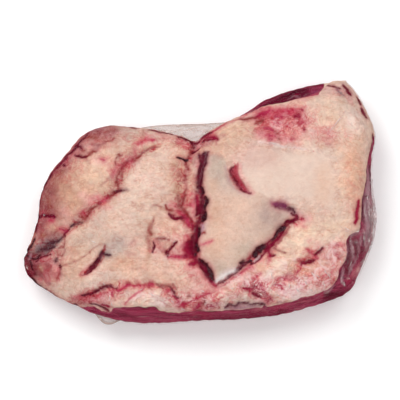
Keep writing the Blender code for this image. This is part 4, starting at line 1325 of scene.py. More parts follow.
# Where blood has soaked into the fat and reddens it in flecks: place, reach along and across, turn,
# strength
SOAKED = rows_in("""
-150,34 30 26 40 0.55
-176,0 14 40 8 0.6
-112,66 44 18 0 0.55
-60,62 40 14 -8 0.55
-172,-62 28 40 0 0.75
-120,-18 30 12 40 0.5
-82,34 26 14 42 0.75
-110,-110 50 11 12 0.95
-60,-104 34 12 0 0.45
-30,-112 18 14 0 0.85
5,-119 44 13 0 1
60,-106 36 13 4 0.9
100,-98 30 14 10 0.9
140,-92 24 16 30 0.8
150,-62 20 13 0 0.6
118,-72 26 12 30 0.75
78,-72 18 12 40 0.5
-18,0 14 46 0 0.85
-34,-50 30 24 0 0.45
-10,60 24 15 0 0.9
-8,-60 13 30 10 0.9
-4,-90 26 14 -20 0.6
92,82 42 22 6 0.9
140,66 30 14 0 0.55
168,10 18 52 0 0.3
165,118 26 14 -30 0.4
60,100 44 8 16 0.6
""")
SOAKED_EVERYWHERE = 0.14
# How far the fat's flecks are held back away from the painted highlights, and on the membrane
CALM_EVERYWHERE = 0.55
CALM_MEMBRANE = 0.8
# How much less blood the plateau and the membrane show
PLATEAU_CLEAN, MEMBRANE_CLEAN = 0.85, 0.9
# How much wider than a seam the stain along it is
SOAKED_SEAM = 1.1
# Where wrinkled film gleams, painted into the fat's colour as highlights: place, reach along and across,
# turn, strength
PAINTED_GLEAMS = rows_in("""
112,-98 44 20 18 1
60,-100 30 14 0 0.9
66,-112 40 8 4 0.9
0,-120 44 9 0 0.7
-52,-116 34 8 0 0.8
-100,-114 26 7 15 0.5
148,-72 14 24 0 0.7
98,-78 18 10 40 0.6
2,60 12 8 0 0.4
96,76 34 16 6 0.45
-36,-62 18 14 0 0.3
-110,74 40 10 0 0.2
""")


def linear(rgb, light=1.0):
    """An sRGB colour from 0 to 255, as seen in that much light, as the renderer's linear one."""
    share = np.array(rgb, float) / 255
    return np.where(share <= 0.04045, share / 12.92, ((share + 0.055) / 1.055) ** 2.4) / light


def tone_of(name):
    return linear(TONES[name], LIGHT)


def lay(colour, mask, tone):
    """The colours with a tone laid over them, as strongly as the mask says."""
    return colour + mask.clip(0, 1)[:, None] * (tone_of(tone) - colour)


def paint_meat(skin):
    """The meat's tones at each point: the ground, the marks that lie on it, and where the film's highlights
    are painted.
    """
    places = wandering()
    broken, fine = lumps_at(skin.places, *BROKEN), lumps_at(skin.places, *FINE)

    def grained(grain):
        return 1 + grain[0] * broken + grain[1] * fine

    rough, washed, marked = grained(GROUND_GRAIN), grained(WASH_GRAIN), grained(MARK_GRAIN)
    ground = np.tile(tone_of("fat"), (len(places), 1))
    for tone, *oval in GROUNDS:
        ground = lay(ground, rough * oval_mask(places, *oval), tone)
    for tone, outline, soft, strength in AREAS:
        mask = within(skin.places if tone == "cut" else places, outline, soft)
        ground = lay(ground, strength * mask, tone)
        if tone == "skin":
            membrane = mask
            for tone_in, *oval in MEMBRANE_GROUNDS:
                ground = lay(ground, mask * rough * oval_mask(places, *oval), tone_in)
    for tone, half, strength, points in WASHES:
        laid = Laid(places, half, points)
        at = laid.index
        ground[at] = lay(ground[at], strength * laid.mask() * washed[at], tone)
    for tone, strength, _, laid in laid_strokes():
        at = laid.index
        halo = HALO_STRENGTH * strength * laid.mask(HALO) * rough[at]
        ground[at] = lay(ground[at], halo, HALO_TONES.get(tone, "rose"))
    cover = np.zeros(len(places))
    total = np.full(len(places), 1e-6)
    tones = tone_of("red") * total[:, None]
    for tone, strength, _, laid in laid_strokes():
        at = laid.index
        ground[at] = lay(ground[at], strength * laid.mask(BODY_WIDTH) * marked[at], tone)
        weight = strength * laid.mask(TONE_WIDTH) ** 2
        total[at] += weight
        tones[at] += weight[:, None] * tone_of(tone)
        cover[at] = np.maximum(cover[at], strength * laid.mask())
    sides = np.zeros((len(places), 3))
    side_share = np.zeros(len(places))
    for tone, half, strength, points in LEAN_STROKES:
        laid = Laid(places, half, points)
        at = laid.index
        mask = strength * laid.mask() * laid.ends
        sides[at] = lay(sides[at], mask, tone)
        side_share[at] += (1 - side_share[at]) * mask
    soaked = strongest(places, SOAKED, SOAKED_EVERYWHERE) * (1 - PLATEAU_CLEAN * within(places, PLATEAU, 6))
    for width, depth, points in SEAMS:
        laid = Laid(places, SOAKED_SEAM * width * smooth_step(2, 5, depth) + 0.1, points)
        soaked[laid.index] = np.maximum(soaked[laid.index], laid.mask())
    # painted highlights where the wrinkled film gleams
    gleam = strongest(places, PAINTED_GLEAMS)
    calm = [CALM_MEMBRANE * membrane, within(places, PLATEAU, 8), CALM_EVERYWHERE * (1 - gleam)]
    return {
        "soaked": soaked * (1 - MEMBRANE_CLEAN * membrane),
        "gleam": gleam,
        "calm": np.maximum.reduce(calm),
        "ground": ground,
        "mark_tone": tones / total[:, None],
        "mark": cover,
        "lean": np.where(skin.under, 1.0, beyond(places, LEAN_EDGE, LEAN_SOFT)),
        "lean_tone": sides / side_share.clip(1e-6)[:, None],
        "lean_mark": side_share,
        "membrane": membrane,
    }


def meat_depth(skin, settings):
    """How far under the base form the meat lies at each point, in millimetres."""
    places = skin.places
    furrow = settings.lobes / MM
    depth = np.full(len(places), settings.gap / MM)
    for _, strength, carve, laid in laid_strokes():
        if carve > 0:
            lips = laid.mask(1.0, LIP) - laid.mask(1.0, LIP / 3)
            depth[laid.index] += carve * strength * (CARVING * laid.mask(CUT_WIDTH) - LIP_HEIGHT * lips)
    lean = beyond(places, FAT_EDGE, STEP_SOFT)
    lobes = np.abs(lumps_at(places, *LOBES)) * 2 + 0.5 * np.abs(lumps_at(places, *SMALL_LOBES))
    smooth = np.maximum(within(places, PLATEAU, 4), 0.7 * within(places, MEMBRANE, 4))
    depth += furrow * (1 - lobes.clip(0, 1)) * (1 - smooth)
    depth = depth.clip(LEAST_GAP) + furrow * lean * (1 + lumps_at(places, *LEAN_LUMPS))
    depth += CRESCENT_DEPTH * within(places, CRESCENT, 1.2)
    return depth + oval_mask(places, *HOLLOW) * lean


def set_floats(data, label, values):
    """Stores a number on each point of a mesh."""
    layer = data.attributes.new(label, "FLOAT", "POINT")
    layer.data.foreach_set("value", np.array(values, np.float32))


def smooth_mesh(name, points, quads, hole, attributes):
    """A mesh from points in millimetres, with float or colour attributes on them."""
    data = bpy.data.meshes.new(name)
    faces = [*quads.tolist(), hole.tolist()]
    data.from_pydata((points * MM).tolist(), [], faces)
    for label, values in attributes.items():
        if values.ndim == 2:
            layer = data.color_attributes.new(label, "FLOAT_COLOR", "POINT")
            rgba = np.column_stack([values, np.ones(len(values))])
            layer.data.foreach_set("color", rgba.astype(np.float32).ravel())
        else:
            set_floats(data, label, values)
    data.shade_smooth()
    return data


def add_piece(name, data, material):
    """Puts a finished mesh in the scene on the pack's body."""
    data.materials.clear()
    data.materials.append(material)
    piece = bpy.data.objects.new(name, data)
    bpy.context.scene.collection.objects.link(piece)
    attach(piece, BODY)
    return piece


# ---- Shader trees ------------------------------------------------------------------------------------

WHITE = (1, 1, 1, 1)
# The way that the fat's grain runs at the left, in degrees about the axes
GRAIN_TURN = (0, 0, -42)


class Shades:
    """A material's node tree, with one method for every node."""

    def __init__(self, name):
        self.material = bpy.data.materials.new(name)
        self.material.use_nodes = True
        self.tree = self.material.node_tree
        self.tree.nodes.clear()

    def add(self, kind, settings=None, inputs=None, output=0):
        """Adds a node, gives it its settings and then its inputs, and returns one of its outputs."""
        node = self.tree.nodes.new(kind)
        for key, value in (settings or {}).items():
            setattr(node, key, value)
        for key, value in (inputs or {}).items():
            socket = node.inputs[key]
            if isinstance(value, Wire):
                self.tree.links.new(value.socket, socket)
            else:
                socket.default_value = value
        return Wire(self, node.outputs[output]) if len(node.outputs) else None

    def mix(self, factor, first, second, blend="MIX"):
        """A mix of two colours."""
        sockets = {0: factor, 6: first, 7: second}
        settings = {"data_type": "RGBA", "blend_type": blend, "clamp_factor": True}
        values = {k: v if isinstance(v, (Wire, float, int)) else (*v, 1) for k, v in sockets.items()}
        return self.add("ShaderNodeMix", settings, values, 2)

    def attribute(self, name, output=2):
        return self.add("ShaderNodeAttribute", {"attribute_name": name}, output=output)

    def place(self):
        """The place on the piece, in metres."""
        return self.add("ShaderNodeTexCoord", output=3)

    def spots(self, place, size, detail=2.0, roughness=0.5, distortion=0.0):
        """Noise whose lumps are about that size, in metres."""
        return self.add("ShaderNodeTexNoise", {"noise_dimensions": "3D"}, {
            "Vector": place, "Scale": 1 / size, "Detail": detail, "Roughness": roughness,
            "Distortion": distortion,
        })

    def strands(self, place, turn, share, *grain):
        """Noise drawn out along x, which is turned by degrees about the axes."""
        drawn = {"Vector": place, "Rotation": tuple(np.radians(turn)), "Scale": (share, 1.0, 1.0)}
        return self.spots(self.add("ShaderNodeMapping", {"vector_type": "POINT"}, drawn), *grain)

    def lines(self, width, value):
        """Thin lines where the noise crosses its middle value."""
        return 1 - self.between(0.0, width, (value - 0.5).size())

    def tinted(self, factor, colour, tint):
        return self.mix(factor, colour, tint, "MULTIPLY")

    def bump(self, strength, distance, height):
        return self.add("ShaderNodeBump", inputs={
            "Strength": strength, "Distance": distance, "Height": height,
        })

    def between(self, low, high, value):
        """A smooth step of the value from low to high."""
        settings = {"interpolation_type": "SMOOTHSTEP"}
        inputs = {"Value": value, "From Min": low, "From Max": high, "To Min": 0.0, "To Max": 1.0}
        return self.add("ShaderNodeMapRange", settings, inputs)

    def surface(self, shader):
        self.add("ShaderNodeOutputMaterial", inputs={"Surface": shader})
        return self.material


class Wire:
    """An output socket that can be used in sums."""

    def __init__(self, shades, socket):
        self.shades, self.socket = shades, socket

    def math(self, operation, first, second, clamp=False):
        settings = {"operation": operation, "use_clamp": clamp}
        return self.shades.add("ShaderNodeMath", settings, {0: first, 1: second})

    def __add__(self, other):
        return self.math("ADD", self, other)

    __radd__ = __add__

    def __sub__(self, other):
        return self.math("SUBTRACT", self, other)

    def __rsub__(self, other):
        return self.math("SUBTRACT", other, self)

    def __mul__(self, other):
        return self.math("MULTIPLY", self, other)

    __rmul__ = __mul__

    def clamped(self):
        return self.math("ADD", self, 0.0, clamp=True)

    def size(self):
        return self.math("ABSOLUTE", self, 0.0)


def meat_material(settings):
    """Fat and lean as painted at each point, broken up finely by noise, with the film's highlights painted on
    the fat.
    """
    s = Shades("beef")
    place = s.place()
    fine = s.spots(place, 0.0028, 3.0, 0.6)
    mid = s.spots(place, 0.009, 3.0, 0.55, 0.6)
    broad = s.spots(place, 0.03, 2.0, 0.5)
    cells = s.spots(place, 0.0014, 1.0, 0.5)
    # fat
    smooth, soaked, gleam = s.attribute("membrane"), s.attribute("soaked"), s.attribute("gleam")
    lively = 1 - s.attribute("calm") * 0.8
    warm = s.between(0.40, 0.66, mid * 0.6 + broad * 0.4)
    colour = s.tinted(warm * lively * 0.6, s.attribute("ground", 0), settings.warm_fat)
    cool = s.between(0.46, 0.62, s.spots(place, 0.026, 3.0, 0.55, 0.5))
    colour = s.tinted(cool * lively * 0.9, colour, settings.cool_fat)
    dim = s.between(0.48, 0.66, s.spots(place, 0.0085, 4.0, 0.62, 0.9))
    colour = s.tinted(dim * lively, colour, settings.dim_fat)
    light = s.between(0.44, 0.64, s.spots(place, 0.0055, 2.0, 0.5, 0.8))
    colour = s.tinted(light * lively, colour, (1 + settings.sheen,) * 3)
    slanted = s.strands(place, GRAIN_TURN, 0.22, 0.0045, 3.0, 0.6, 0.4)
    level = s.strands(place, (0, 0, 6), 0.2, 0.0035, 3.0, 0.6, 0.4)
    to_right = s.between(0.0, 0.06, s.add("ShaderNodeSeparateXYZ", inputs={"Vector": place}))
    streaks = slanted * (1 - to_right) + level * to_right
    grained = s.between(0.46, 0.66, streaks) * lively * (0.6 - to_right * 0.3)
    colour = s.tinted(grained, colour, settings.streaks)
    # blood in the fat, and the film's pale glints on it, painted as highlights in the fat's colour
    folds = s.spots(place, 0.016, 3.5, 0.6, 0.9)
    wander = s.spots(place, 0.007, 3.5, 0.62, 1.4)
    veins, threads = s.lines(0.05, folds), s.lines(0.05, wander)
    highlight_pools = s.between(0.50, 0.60, s.spots(place, 0.013, 3.0, 0.55, 1.0))
    colour = s.mix(highlight_pools * gleam * 0.8, colour, tone_of("gleam"))
    blotches = s.between(0.50, 0.62, wander * 0.65 + folds * 0.35)
    stain = (blotches * 0.45 + veins * 0.8 + threads * 0.5) * soaked * (1 - highlight_pools * gleam * 0.5)
    colour = s.tinted(stain.clamped(), colour, settings.stain)
    deep = s.between(0.60, 0.68, wander) * s.between(0.35, 0.9, soaked)
    colour = s.tinted(deep * 0.85, colour, settings.deep_stain)
    cracks = s.lines(0.022, s.spots(place, 0.011, 3.0, 0.55, 1.3)) * s.between(0.3, 0.8, soaked)
    colour = s.tinted(cracks * 0.75, colour, settings.deep_stain)
    # painted highlight lines along the crests of the film's wrinkles
    highlight_crests = s.lines(0.035, s.spots(place, 0.0065, 2.5, 0.55, 1.6))
    colour = s.mix(highlight_crests * gleam * 0.5, colour, tone_of("gleam"))
    wrinkled = s.strands(place, GRAIN_TURN, 0.5, 0.0085, 3.0, 0.6, 1.2)
    wrinkles = s.lines(0.045, wrinkled) * lively * (1 - smooth)
    colour = s.tinted(wrinkles * s.between(0.35, 0.6, mid), colour, settings.wrinkles)
    speckle = s.between(0.54, 0.66, cells * 0.5 + fine * 0.5) * smooth
    colour = s.tinted(speckle * 0.4, colour, settings.streaks)
    # marks
    cover = s.attribute("mark")
    frayed = (fine - 0.5) * 1.1 + (cells - 0.5) * 0.6 + (wander - 0.5) * 0.6
    mark = s.between(0.38, 0.74, cover + frayed * s.between(0.0, 0.35, cover)) * 0.8
    tone = s.mix(s.between(0.45, 0.7, fine) * 0.25, s.attribute("mark_tone", 0), settings.dark_mark)
    colour = s.mix(mark.clamped(), colour, tone)
    # lean
    fibres = s.strands(place, (0, 25, 15), 0.09, 0.0026, 3.0, 0.5, 0.4)
    muscles = s.strands(place, (0, 12, 6), 0.16, 0.02, 2.5, 0.5, 0.8)
    shade = s.between(0.34, 0.68, fibres * 0.55 + muscles * 0.45)
    red = s.mix(shade, settings.lean_dark, settings.lean_light)
    red = s.mix(s.between(0.56, 0.66, muscles) * 0.35, red, tone_of("plum"))
    red = s.mix(s.lines(0.022, muscles) * s.between(0.42, 0.6, broad) * 0.3, red, tone_of("silver"))
    red = s.mix(s.attribute("lean_mark"), red, s.attribute("lean_tone", 0))
    lean = s.between(0.35, 0.65, s.attribute("lean") + (fine - 0.5) * 0.5)
    colour = s.mix(lean, colour, red)
    height = mid * 0.5 + fine * 0.3 + fibres * lean * 0.25
    height = height - wrinkles * 0.3 - veins * soaked * 0.4 - threads * soaked * 0.2
    return s.surface(s.add("ShaderNodeBsdfPrincipled", inputs={
        "Base Color": colour,
        "Roughness": 0.5 - lean * 0.08,
        "Normal": s.bump(0.4, 0.0016, height),
        "Specular IOR Level": 0.0,
        "Subsurface Weight": settings.subsurface,
        "Subsurface Radius": (1.0, 0.45, 0.3),
        "Subsurface Scale": 0.002,
    }))


def film_material(settings, milk):
    """Clear film: mirror-like where the light grazes it, and milky where it lies loose in creases, with
    painted highlights streaked into the milky colour.
    """
    s = Shades("film")
    place = s.place()
    creases = s.strands(place, (0, 0, 40), 0.3, 0.006, 3.0, 0.6, 1.0)
    ripple = s.spots(place, 0.0036, 3.0, 0.6, 0.6)
    bump = s.bump(0.6, 0.0014, creases * 0.6 + ripple * 0.4)
    clear = s.add("ShaderNodeBsdfTransparent", inputs={"Color": WHITE})
    gloss = s.add("ShaderNodeBsdfAnisotropic", inputs={
        "Color": WHITE, "Roughness": settings.gloss, "Normal": bump,
    })
    facing = s.add("ShaderNodeFresnel", inputs={"IOR": settings.ior, "Normal": bump})
    most = s.attribute("side") * settings.side_gloss + settings.most_gloss
    facing = facing.math("MINIMUM", facing, most)
    sheer = s.add("ShaderNodeMixShader", inputs={0: facing, 1: clear, 2: gloss})
    streaks = s.between(0.50, 0.68, creases)
    loose = (s.attribute("haze") * (0.55 + 0.9 * streaks)).clamped()
    # painted highlights: streaks of the glint colour in the film's milky colour
    white = s.mix(s.between(0.54, 0.70, creases) * 0.7, milk, settings.glint)
    milky = s.add("ShaderNodeBsdfPrincipled", inputs={
        "Base Color": white, "Roughness": 0.3, "Normal": bump,
    })
    return s.surface(s.add("ShaderNodeMixShader", inputs={0: loose, 1: sheer, 2: milky}))


# ---- Settings ----------------------------------------------------------------------------------------


def length_of(name, description, millimetres):
    return FloatProperty(
        name=name, description=description, default=millimetres * MM, min=0, subtype="DISTANCE",
        unit="LENGTH", precision=5,
    )


def number_of(name, description, value, most=1.0, least=0.0, unit="NONE"):
    return FloatProperty(name=name, description=description, default=value, min=least, max=most, unit=unit)


def colour_of(name, description, rgb, size=3, light=1.0):
    return FloatVectorProperty(
        name=name, description=description, default=(*linear(rgb, light), 1.0)[:size], size=size,
        subtype="COLOR", min=0, max=1,
    )


class MeatSettings(bpy.types.PropertyGroup):
    clot_spacing: length_of("Clot spacing", "The distance between lumps of dried blood", 0.7)
    clot_depth: length_of("Clot depth", "How far under the film the lumps' middles lie", 0.9)
    gap: length_of("Gap", "How far the meat lies under the base form", 0.8)
    lobes: length_of("Lobes", "How deep the fat's small furrows are", 0.7)
    subsurface: number_of("Glow", "How much light passes into the meat", 0.0)
    warm_fat: colour_of("Warm fat", "The tint of the fat's yellower parts", (252, 238, 220))
    cool_fat: colour_of("Cool fat", "The tint of the fat's greyer parts", (236, 238, 242))
    dim_fat: colour_of("Dim fat", "The tint of the fat's darker flecks", (236, 224, 226))
    sheen: number_of("Sheen", "How much brighter the fat's palest flecks are", 0.22)
    streaks: colour_of("Streaks", "The tint of the fat's long streaks", (236, 210, 206))
    wrinkles: colour_of("Wrinkles", "The tint of the fat's fine wrinkles", (232, 198, 194))
    stain: colour_of("Stain", "The tint of fat where blood has soaked into it", (238, 132, 158))
    deep_stain: colour_of("Deep stain", "The tint of the fat where it is reddest", (208, 74, 110))
    lean_light: colour_of("Lean, light", "The lean meat's lighter fibres", (190, 74, 104), light=LIGHT)
    lean_dark: colour_of("Lean, dark", "The lean meat's darker fibres", (112, 20, 48), light=LIGHT)
    dark_mark: colour_of("Dried blood", "The darkest tone within the marks", (66, 8, 22), light=LIGHT)


class FilmSettings(bpy.types.PropertyGroup):
    # The sharp creases are thin milky tubes whose white is a painted highlight
    crease: length_of("Crease", "Half the width of a sharp crease", 0.45)
    crease_milk: number_of("Crease haze", "How milky a sharp crease is", 0.9)
    web_waves: length_of("Web waves", "How high the loose film's waves are", 1.6)
    offset: length_of("Offset", "How far the film lies outside the solid model's skin", 0.25)
    waves: length_of("Waves", "How high the film's broad waves are", 0.35)
    gloss: number_of("Gloss", "The film's roughness", 0.16)
    ior: number_of("IOR", "The film's index of refraction", 1.22, 2.0, 1.0)
    most_gloss: number_of("Most gloss", "The share of light mirrored at a grazing angle", 0.006)
    side_gloss: number_of("Side gloss", "How much more light the film mirrors on the wall", 0.06)
    milk: colour_of("Haze", "The film's own colour where it lies loose", (224, 184, 186), light=LIGHT)
    loose: colour_of("Webs", "The film's colour where nothing lies under it", (190, 162, 149), light=LIGHT)
    # painted highlight colour, used on the sharp creases and in streaks on the milky film
    glint: colour_of("Glints", "The film's colour on its sharpest creases", (255, 242, 238), light=LIGHT)


class StageSettings(bpy.types.PropertyGroup):
    floor: colour_of("Floor", "The floor's colour", (250, 250, 250), 4)
    floor_glow: number_of("Floor glow", "How much the floor lights itself", 0.12)
    key: number_of("Lights", "The power of each of the round lights", 9.2, 1000.0, unit="POWER")
    rise: number_of("Rise", "How high the lights stand, in degrees", 60.0, 90.0)
    fill: number_of("Sky", "The strength of the light from all round", 0.34, 10.0)


class BeefSettings(bpy.types.PropertyGroup):
    meat: PointerProperty(type=MeatSettings)
    film: PointerProperty(type=FilmSettings)
    stage: PointerProperty(type=StageSettings)


# ---- Pieces ------------------------------------------------------------------------------------------


class BEEF_OT_meat(bpy.types.Operator):
    """Make the meat and its fat, just inside the film"""

    bl_idname = "beef.meat"
    bl_label = "Meat"

    def execute(self, context):
        settings = context.scene.beef.meat
        skin = pack_skin()
        points = skin.points - skin.outward * meat_depth(skin, settings)[:, None]
        points[:, 2] = np.maximum(points[:, 2], settings.gap / MM)
        data = smooth_mesh("meat", points, skin.quads, skin.hole, paint_meat(skin))
        add_piece("meat", data, meat_material(settings))
        return {"FINISHED"}


class Grower:
    """A geometry node tree with named inputs, one method for every node."""

    def __init__(self, name, inputs):
        self.tree = bpy.data.node_groups.new(name, "GeometryNodeTree")
        self.tree.interface.new_socket("Lines", in_out="INPUT", socket_type="NodeSocketGeometry")
        self.identifiers = {}
        for label, (kind, value) in inputs.items():
            socket = self.tree.interface.new_socket(label, in_out="INPUT", socket_type=kind)
            socket.default_value = value
            self.identifiers[label] = socket.identifier
        self.tree.interface.new_socket("Mesh", in_out="OUTPUT", socket_type="NodeSocketGeometry")
        self.source = self.tree.nodes.new("NodeGroupInput")

    def given(self, label):
        return self.source.outputs[label]

    def add(self, kind, settings=None, inputs=None, output=0):
        node = self.tree.nodes.new(kind)
        for key, value in (settings or {}).items():
            setattr(node, key, value)
        for key, value in (inputs or {}).items():
            socket = node.inputs[key]
            if isinstance(value, bpy.types.NodeSocket):
                self.tree.links.new(value, socket)
            else:
                socket.default_value = value
        return node.outputs[output]

    def walk(self):
        """The lines as curves with evenly spaced points, and their half widths."""
        curves = self.add("GeometryNodeMeshToCurve", inputs={"Mesh": self.given("Lines")})
        spaced = {"Curve": curves, "Length": self.given("Spacing")}
        run = self.add("GeometryNodeResampleCurve", {"mode": "LENGTH"}, spaced)
        half = self.add("GeometryNodeInputNamedAttribute", {"data_type": "FLOAT"}, {"Name": "half_width"})
        return run, half

    def random_vector(self, low, high):
        values = {0: low, 1: high, "Seed": self.given("Seed")}
        return self.add("FunctionNodeRandomValue", {"data_type": "FLOAT_VECTOR"}, values)

    def scaled(self, vector, *factors):
        """The vector times both factors."""
        size = self.add("ShaderNodeMath", {"operation": "MULTIPLY"}, dict(enumerate(factors)))
        return self.add("ShaderNodeVectorMath", {"operation": "SCALE"}, {0: vector, "Scale": size})

    def finish(self, geometry, material):
        realized = self.add("GeometryNodeRealizeInstances", inputs={"Geometry": geometry})
        smooth = self.add("GeometryNodeSetShadeSmooth", inputs={"Geometry": realized})
        painted = self.add("GeometryNodeSetMaterial", inputs={"Geometry": smooth, "Material": material})
        result = self.tree.nodes.new("NodeGroupOutput")
        self.tree.links.new(painted, result.inputs["Mesh"])

    def grow(self, name, lines, values):
        """Runs the tree on lines and returns the plain mesh that it makes."""
        guide = bpy.data.objects.new(name, lines)
        bpy.context.scene.collection.objects.link(guide)
        modifier = guide.modifiers.new(name, "NODES")
        modifier.node_group = self.tree
        for label, value in values.items():
            modifier[self.identifiers[label]] = value
        graph = bpy.context.evaluated_depsgraph_get()
        made = bpy.data.meshes.new_from_object(guide.evaluated_get(graph))
        bpy.data.objects.remove(guide)
        made.name = name
        return made


def line_mesh(name, lines):
    """Edges along the lines; each is its points in millimetres and its half widths."""
    points, edges, widths = [], [], []
    for line, half in lines:
        start = len(points)
        points += [tuple(point * MM) for point in line]
        widths += list(np.array(half) * MM)
        edges += [(start + i, start + i + 1) for i in range(len(line) - 1)]
    data = bpy.data.meshes.new(name)
    data.from_pydata(points, edges, [])
    set_floats(data, "half_width", widths)
    return data


def clot_tree(material):
    """Lumps of dried blood scattered along lines."""
    g = Grower("dried_blood", {
        "Spacing": ("NodeSocketFloat", 0.0012),
        "Lump": ("NodeSocketFloat", 0.7),
        "Spread": ("NodeSocketFloat", 0.9),
        "Seed": ("NodeSocketInt", 7),
    })
    run, half = g.walk()
    shift = g.random_vector((-1.0, -1.0, -0.15), (1.0, 1.0, 0.15))
    offset = g.scaled(shift, half, g.given("Spread"))
    moved = g.add("GeometryNodeSetPosition", inputs={"Geometry": run, "Offset": offset})
    ball = g.add("GeometryNodeMeshIcoSphere", inputs={"Radius": 1.0, "Subdivisions": 2})
    stretch = g.random_vector((0.35, 0.35, 0.3), (1.1, 0.9, 0.55))
    scale = g.scaled(stretch, half, g.given("Lump"))
    turn = g.random_vector((0.0, 0.0, 0.0), (0.6, 0.6, 6.28))
    lumps = g.add("GeometryNodeInstanceOnPoints", inputs={
        "Points": moved, "Instance": ball, "Rotation": turn, "Scale": scale,
    })
    g.finish(lumps, material)
    return g


def crease_tree(material):
    """Round ridges that follow lines, thin at their ends."""
    g = Grower("creases", {
        "Spacing": ("NodeSocketFloat", 0.0012),
        "Sides": ("NodeSocketInt", 8),
    })
    run, half = g.walk()
    ring = g.add("GeometryNodeCurvePrimitiveCircle", inputs={"Resolution": g.given("Sides"), "Radius": 1.0})
    tube = g.add("GeometryNodeCurveToMesh", inputs={
        "Curve": run, "Profile Curve": ring, "Scale": half, "Fill Caps": True,
    })
    g.finish(tube, material)
    return g


def clot_material():
    """Dried blood, nearly black with redder patches."""
    s = Shades("dried_blood")
    place = s.place()
    grain = s.spots(place, 0.002, 3.0, 0.6)
    patches = s.spots(place, 0.006, 2.0, 0.5)
    tone = s.mix(s.between(0.42, 0.66, grain), tone_of("soot"), tone_of("ink"))
    tone = s.mix(s.between(0.52, 0.68, patches) * 0.6, tone, tone_of("maroon"))
    return s.surface(s.add("ShaderNodeBsdfPrincipled", inputs={
        "Base Color": tone, "Roughness": 0.45, "Specular IOR Level": 0.15,
        "Normal": s.bump(0.4, 0.0006, grain),
    }))


# The strength above which a stroke of soot carries lumps, and the seed of their scatter
CLOTTED_FROM = 0.8
CLOT_SEED = 11
# How far along a half turn the ends of clots and of creases start, which sets how thin they are
CLOT_ENDS, CREASE_ENDS = 0.12, 0.04
CREASE_SIDES = 8


def smooth_line(points, ends):
    """A smooth open line through the points, and how thick it is along it from 0 to 1."""
    line = curve_through(points, LINE_STEPS, closed=False)
    return line, np.sin(np.pi * np.linspace(ends, 1 - ends, len(line)))


class BEEF_OT_clots(bpy.types.Operator):
    """Scatter dried blood along the membrane's dark edges"""

    bl_idname = "beef.clots"
    bl_label = "Dried blood"

    def execute(self, context):
        settings = context.scene.beef.meat
        skin = pack_skin()
        lines = []
        for tone, half, strength, _, points in STROKES:
            if tone == "soot" and strength > CLOTTED_FROM:
                line, thick = smooth_line(points, CLOT_ENDS)
                lines.append((skin.lift(line, -settings.clot_depth / MM), half * thick))
        material = clot_material()
        made = clot_tree(material).grow("dried_blood", line_mesh("dried_blood", lines), {
            "Spacing": settings.clot_spacing, "Seed": CLOT_SEED,
        })
        add_piece("dried_blood", made, material)
        return {"FINISHED"}


# Where the film lies loose and looks milky: place, reach along and across, turn in degrees, strength
HAZES = rows_in("""
203,-22 50 7.5 88 0.95
212,-20 60 16 88 0.22
214,100 60 16 80 0.12
-40,-152 170 12 0 0.1
-60,104 70 14 -4 0.14
192,-22 42 9 86 0.3
168,-62 26 9 68 0.12
170,-43 10 4 10 0.3
189,-64 26 3.5 60 0.5
201,72 40 4 90 0.45
182,122 30 5 -50 0.4
140,100 30 14 40 0.06
60,-122 40 5 0 0.06
-60,87 50 2.5 -4 0.3
""")
# Folds of milky film: half the width, height, strength and the line
PLEATS = rows_in("""
1.2 0.7 0.25 66,56 85,53 100,51 118,49
1 0.7 0.4 140,66 148,76 156,86 160,92
1 1 0.35 194,40 192,20 190,0 192,-14
1 1 0.35 198,30 200,6 198,-20 192,-40
1.2 1 0.6 184,0 188,-8 187,-17 191,-27 189,-38 185,-50
0.9 0.8 0.5 164,-50 166,-60 168,-70 165,-82
0.7 0.7 0.5 171,-50 174,-60 175,-70
0.8 0.8 0.35 180,-44 176,-60 172,-76 164,-92
0.8 0.6 0.5 152,-37 160,-42 172,-44 182,-42
0.8 0.5 0.3 150,126 160,118 166,106
0.8 0.6 0.3 168,130 178,116 184,100
""")

# Short white glints on the film's sharpest creases, made as thin milky tubes: painted highlights
GLINTS = [points_in(line) for line in """
-175.5,-18.5 -173,-19.5; -191,-75 -190.5,-78; -119,-51 -113,-54; -106,-97 -104,-100;
-98.5,-111 -98,-116; -97,-118 -95,-122; -62,-104 -66,-107; -54,-110 -50,-113; -32,-117 -28,-121;
-21,-125 -16,-128; 1,-107 5,-109; 33,-106 37,-104; 58,-100 60,-96; 64,-110 68,-113; 77,-88 78,-94;
83,-111 87,-113; 96,-99 98,-104; 104,-104 108,-107; 113,-95 116,-100; 121,-87 124,-91; 126,-90 130,-92;
135,-84 138,-89; 139,-88 142,-93; 118,-103 122,-105; 134,-97 136,-101; 152,-73 153,-77;
166,-91.5 167,-93.5; 157,-38 163,-41; 169,-42 174,-41.5; 181,-45 181.5,-50; 188,-46 188,-52;
168,-57 169,-61; 159,-97 160,-101; 189,-18 189,-23; 186,0 186,-5; 148,76 154,84; 76,57 84,55
""".split(";")]


def film_relief(skin, settings):
    """How far the film stands out from the base form, and how milky it is."""
    waves = lumps_at(skin.places, *FILM_WAVES) + 0.5 * lumps_at(skin.places, *FILM_RIPPLES)
    rise = settings.offset / MM + settings.waves / MM * (waves + 1) / 2
    haze = strongest(skin.places, HAZES)
    haze = (haze * (1 + 0.7 * lumps_at(skin.places, *HAZE_BREAKS))).clip(0, 1)
    for half, height, strength, points in PLEATS:
        laid = Laid(skin.places, half, points)
        at = laid.index
        rise[at] += height * laid.mask()
        haze[at] = np.maximum(haze[at], strength * laid.mask())
    return rise, haze


class BEEF_OT_film(bpy.types.Operator):
    """Wrap the clear film round the meat"""

    bl_idname = "beef.film"
    bl_label = "Film"

    def execute(self, context):
        settings = context.scene.beef.film
        skin = pack_skin()
        rise, haze = film_relief(skin, settings)
        points = skin.points + skin.outward * rise[:, None]
        points[:, 2] = points[:, 2].clip(0)
        side = smooth_step(0.1, 0.6, skin.turn)
        data = smooth_mesh("film", points, skin.quads, skin.hole, {"haze": haze, "side": side})
        film = add_piece("film", data, film_material(settings, settings.milk))
        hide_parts(NODE)
        return {"FINISHED"}


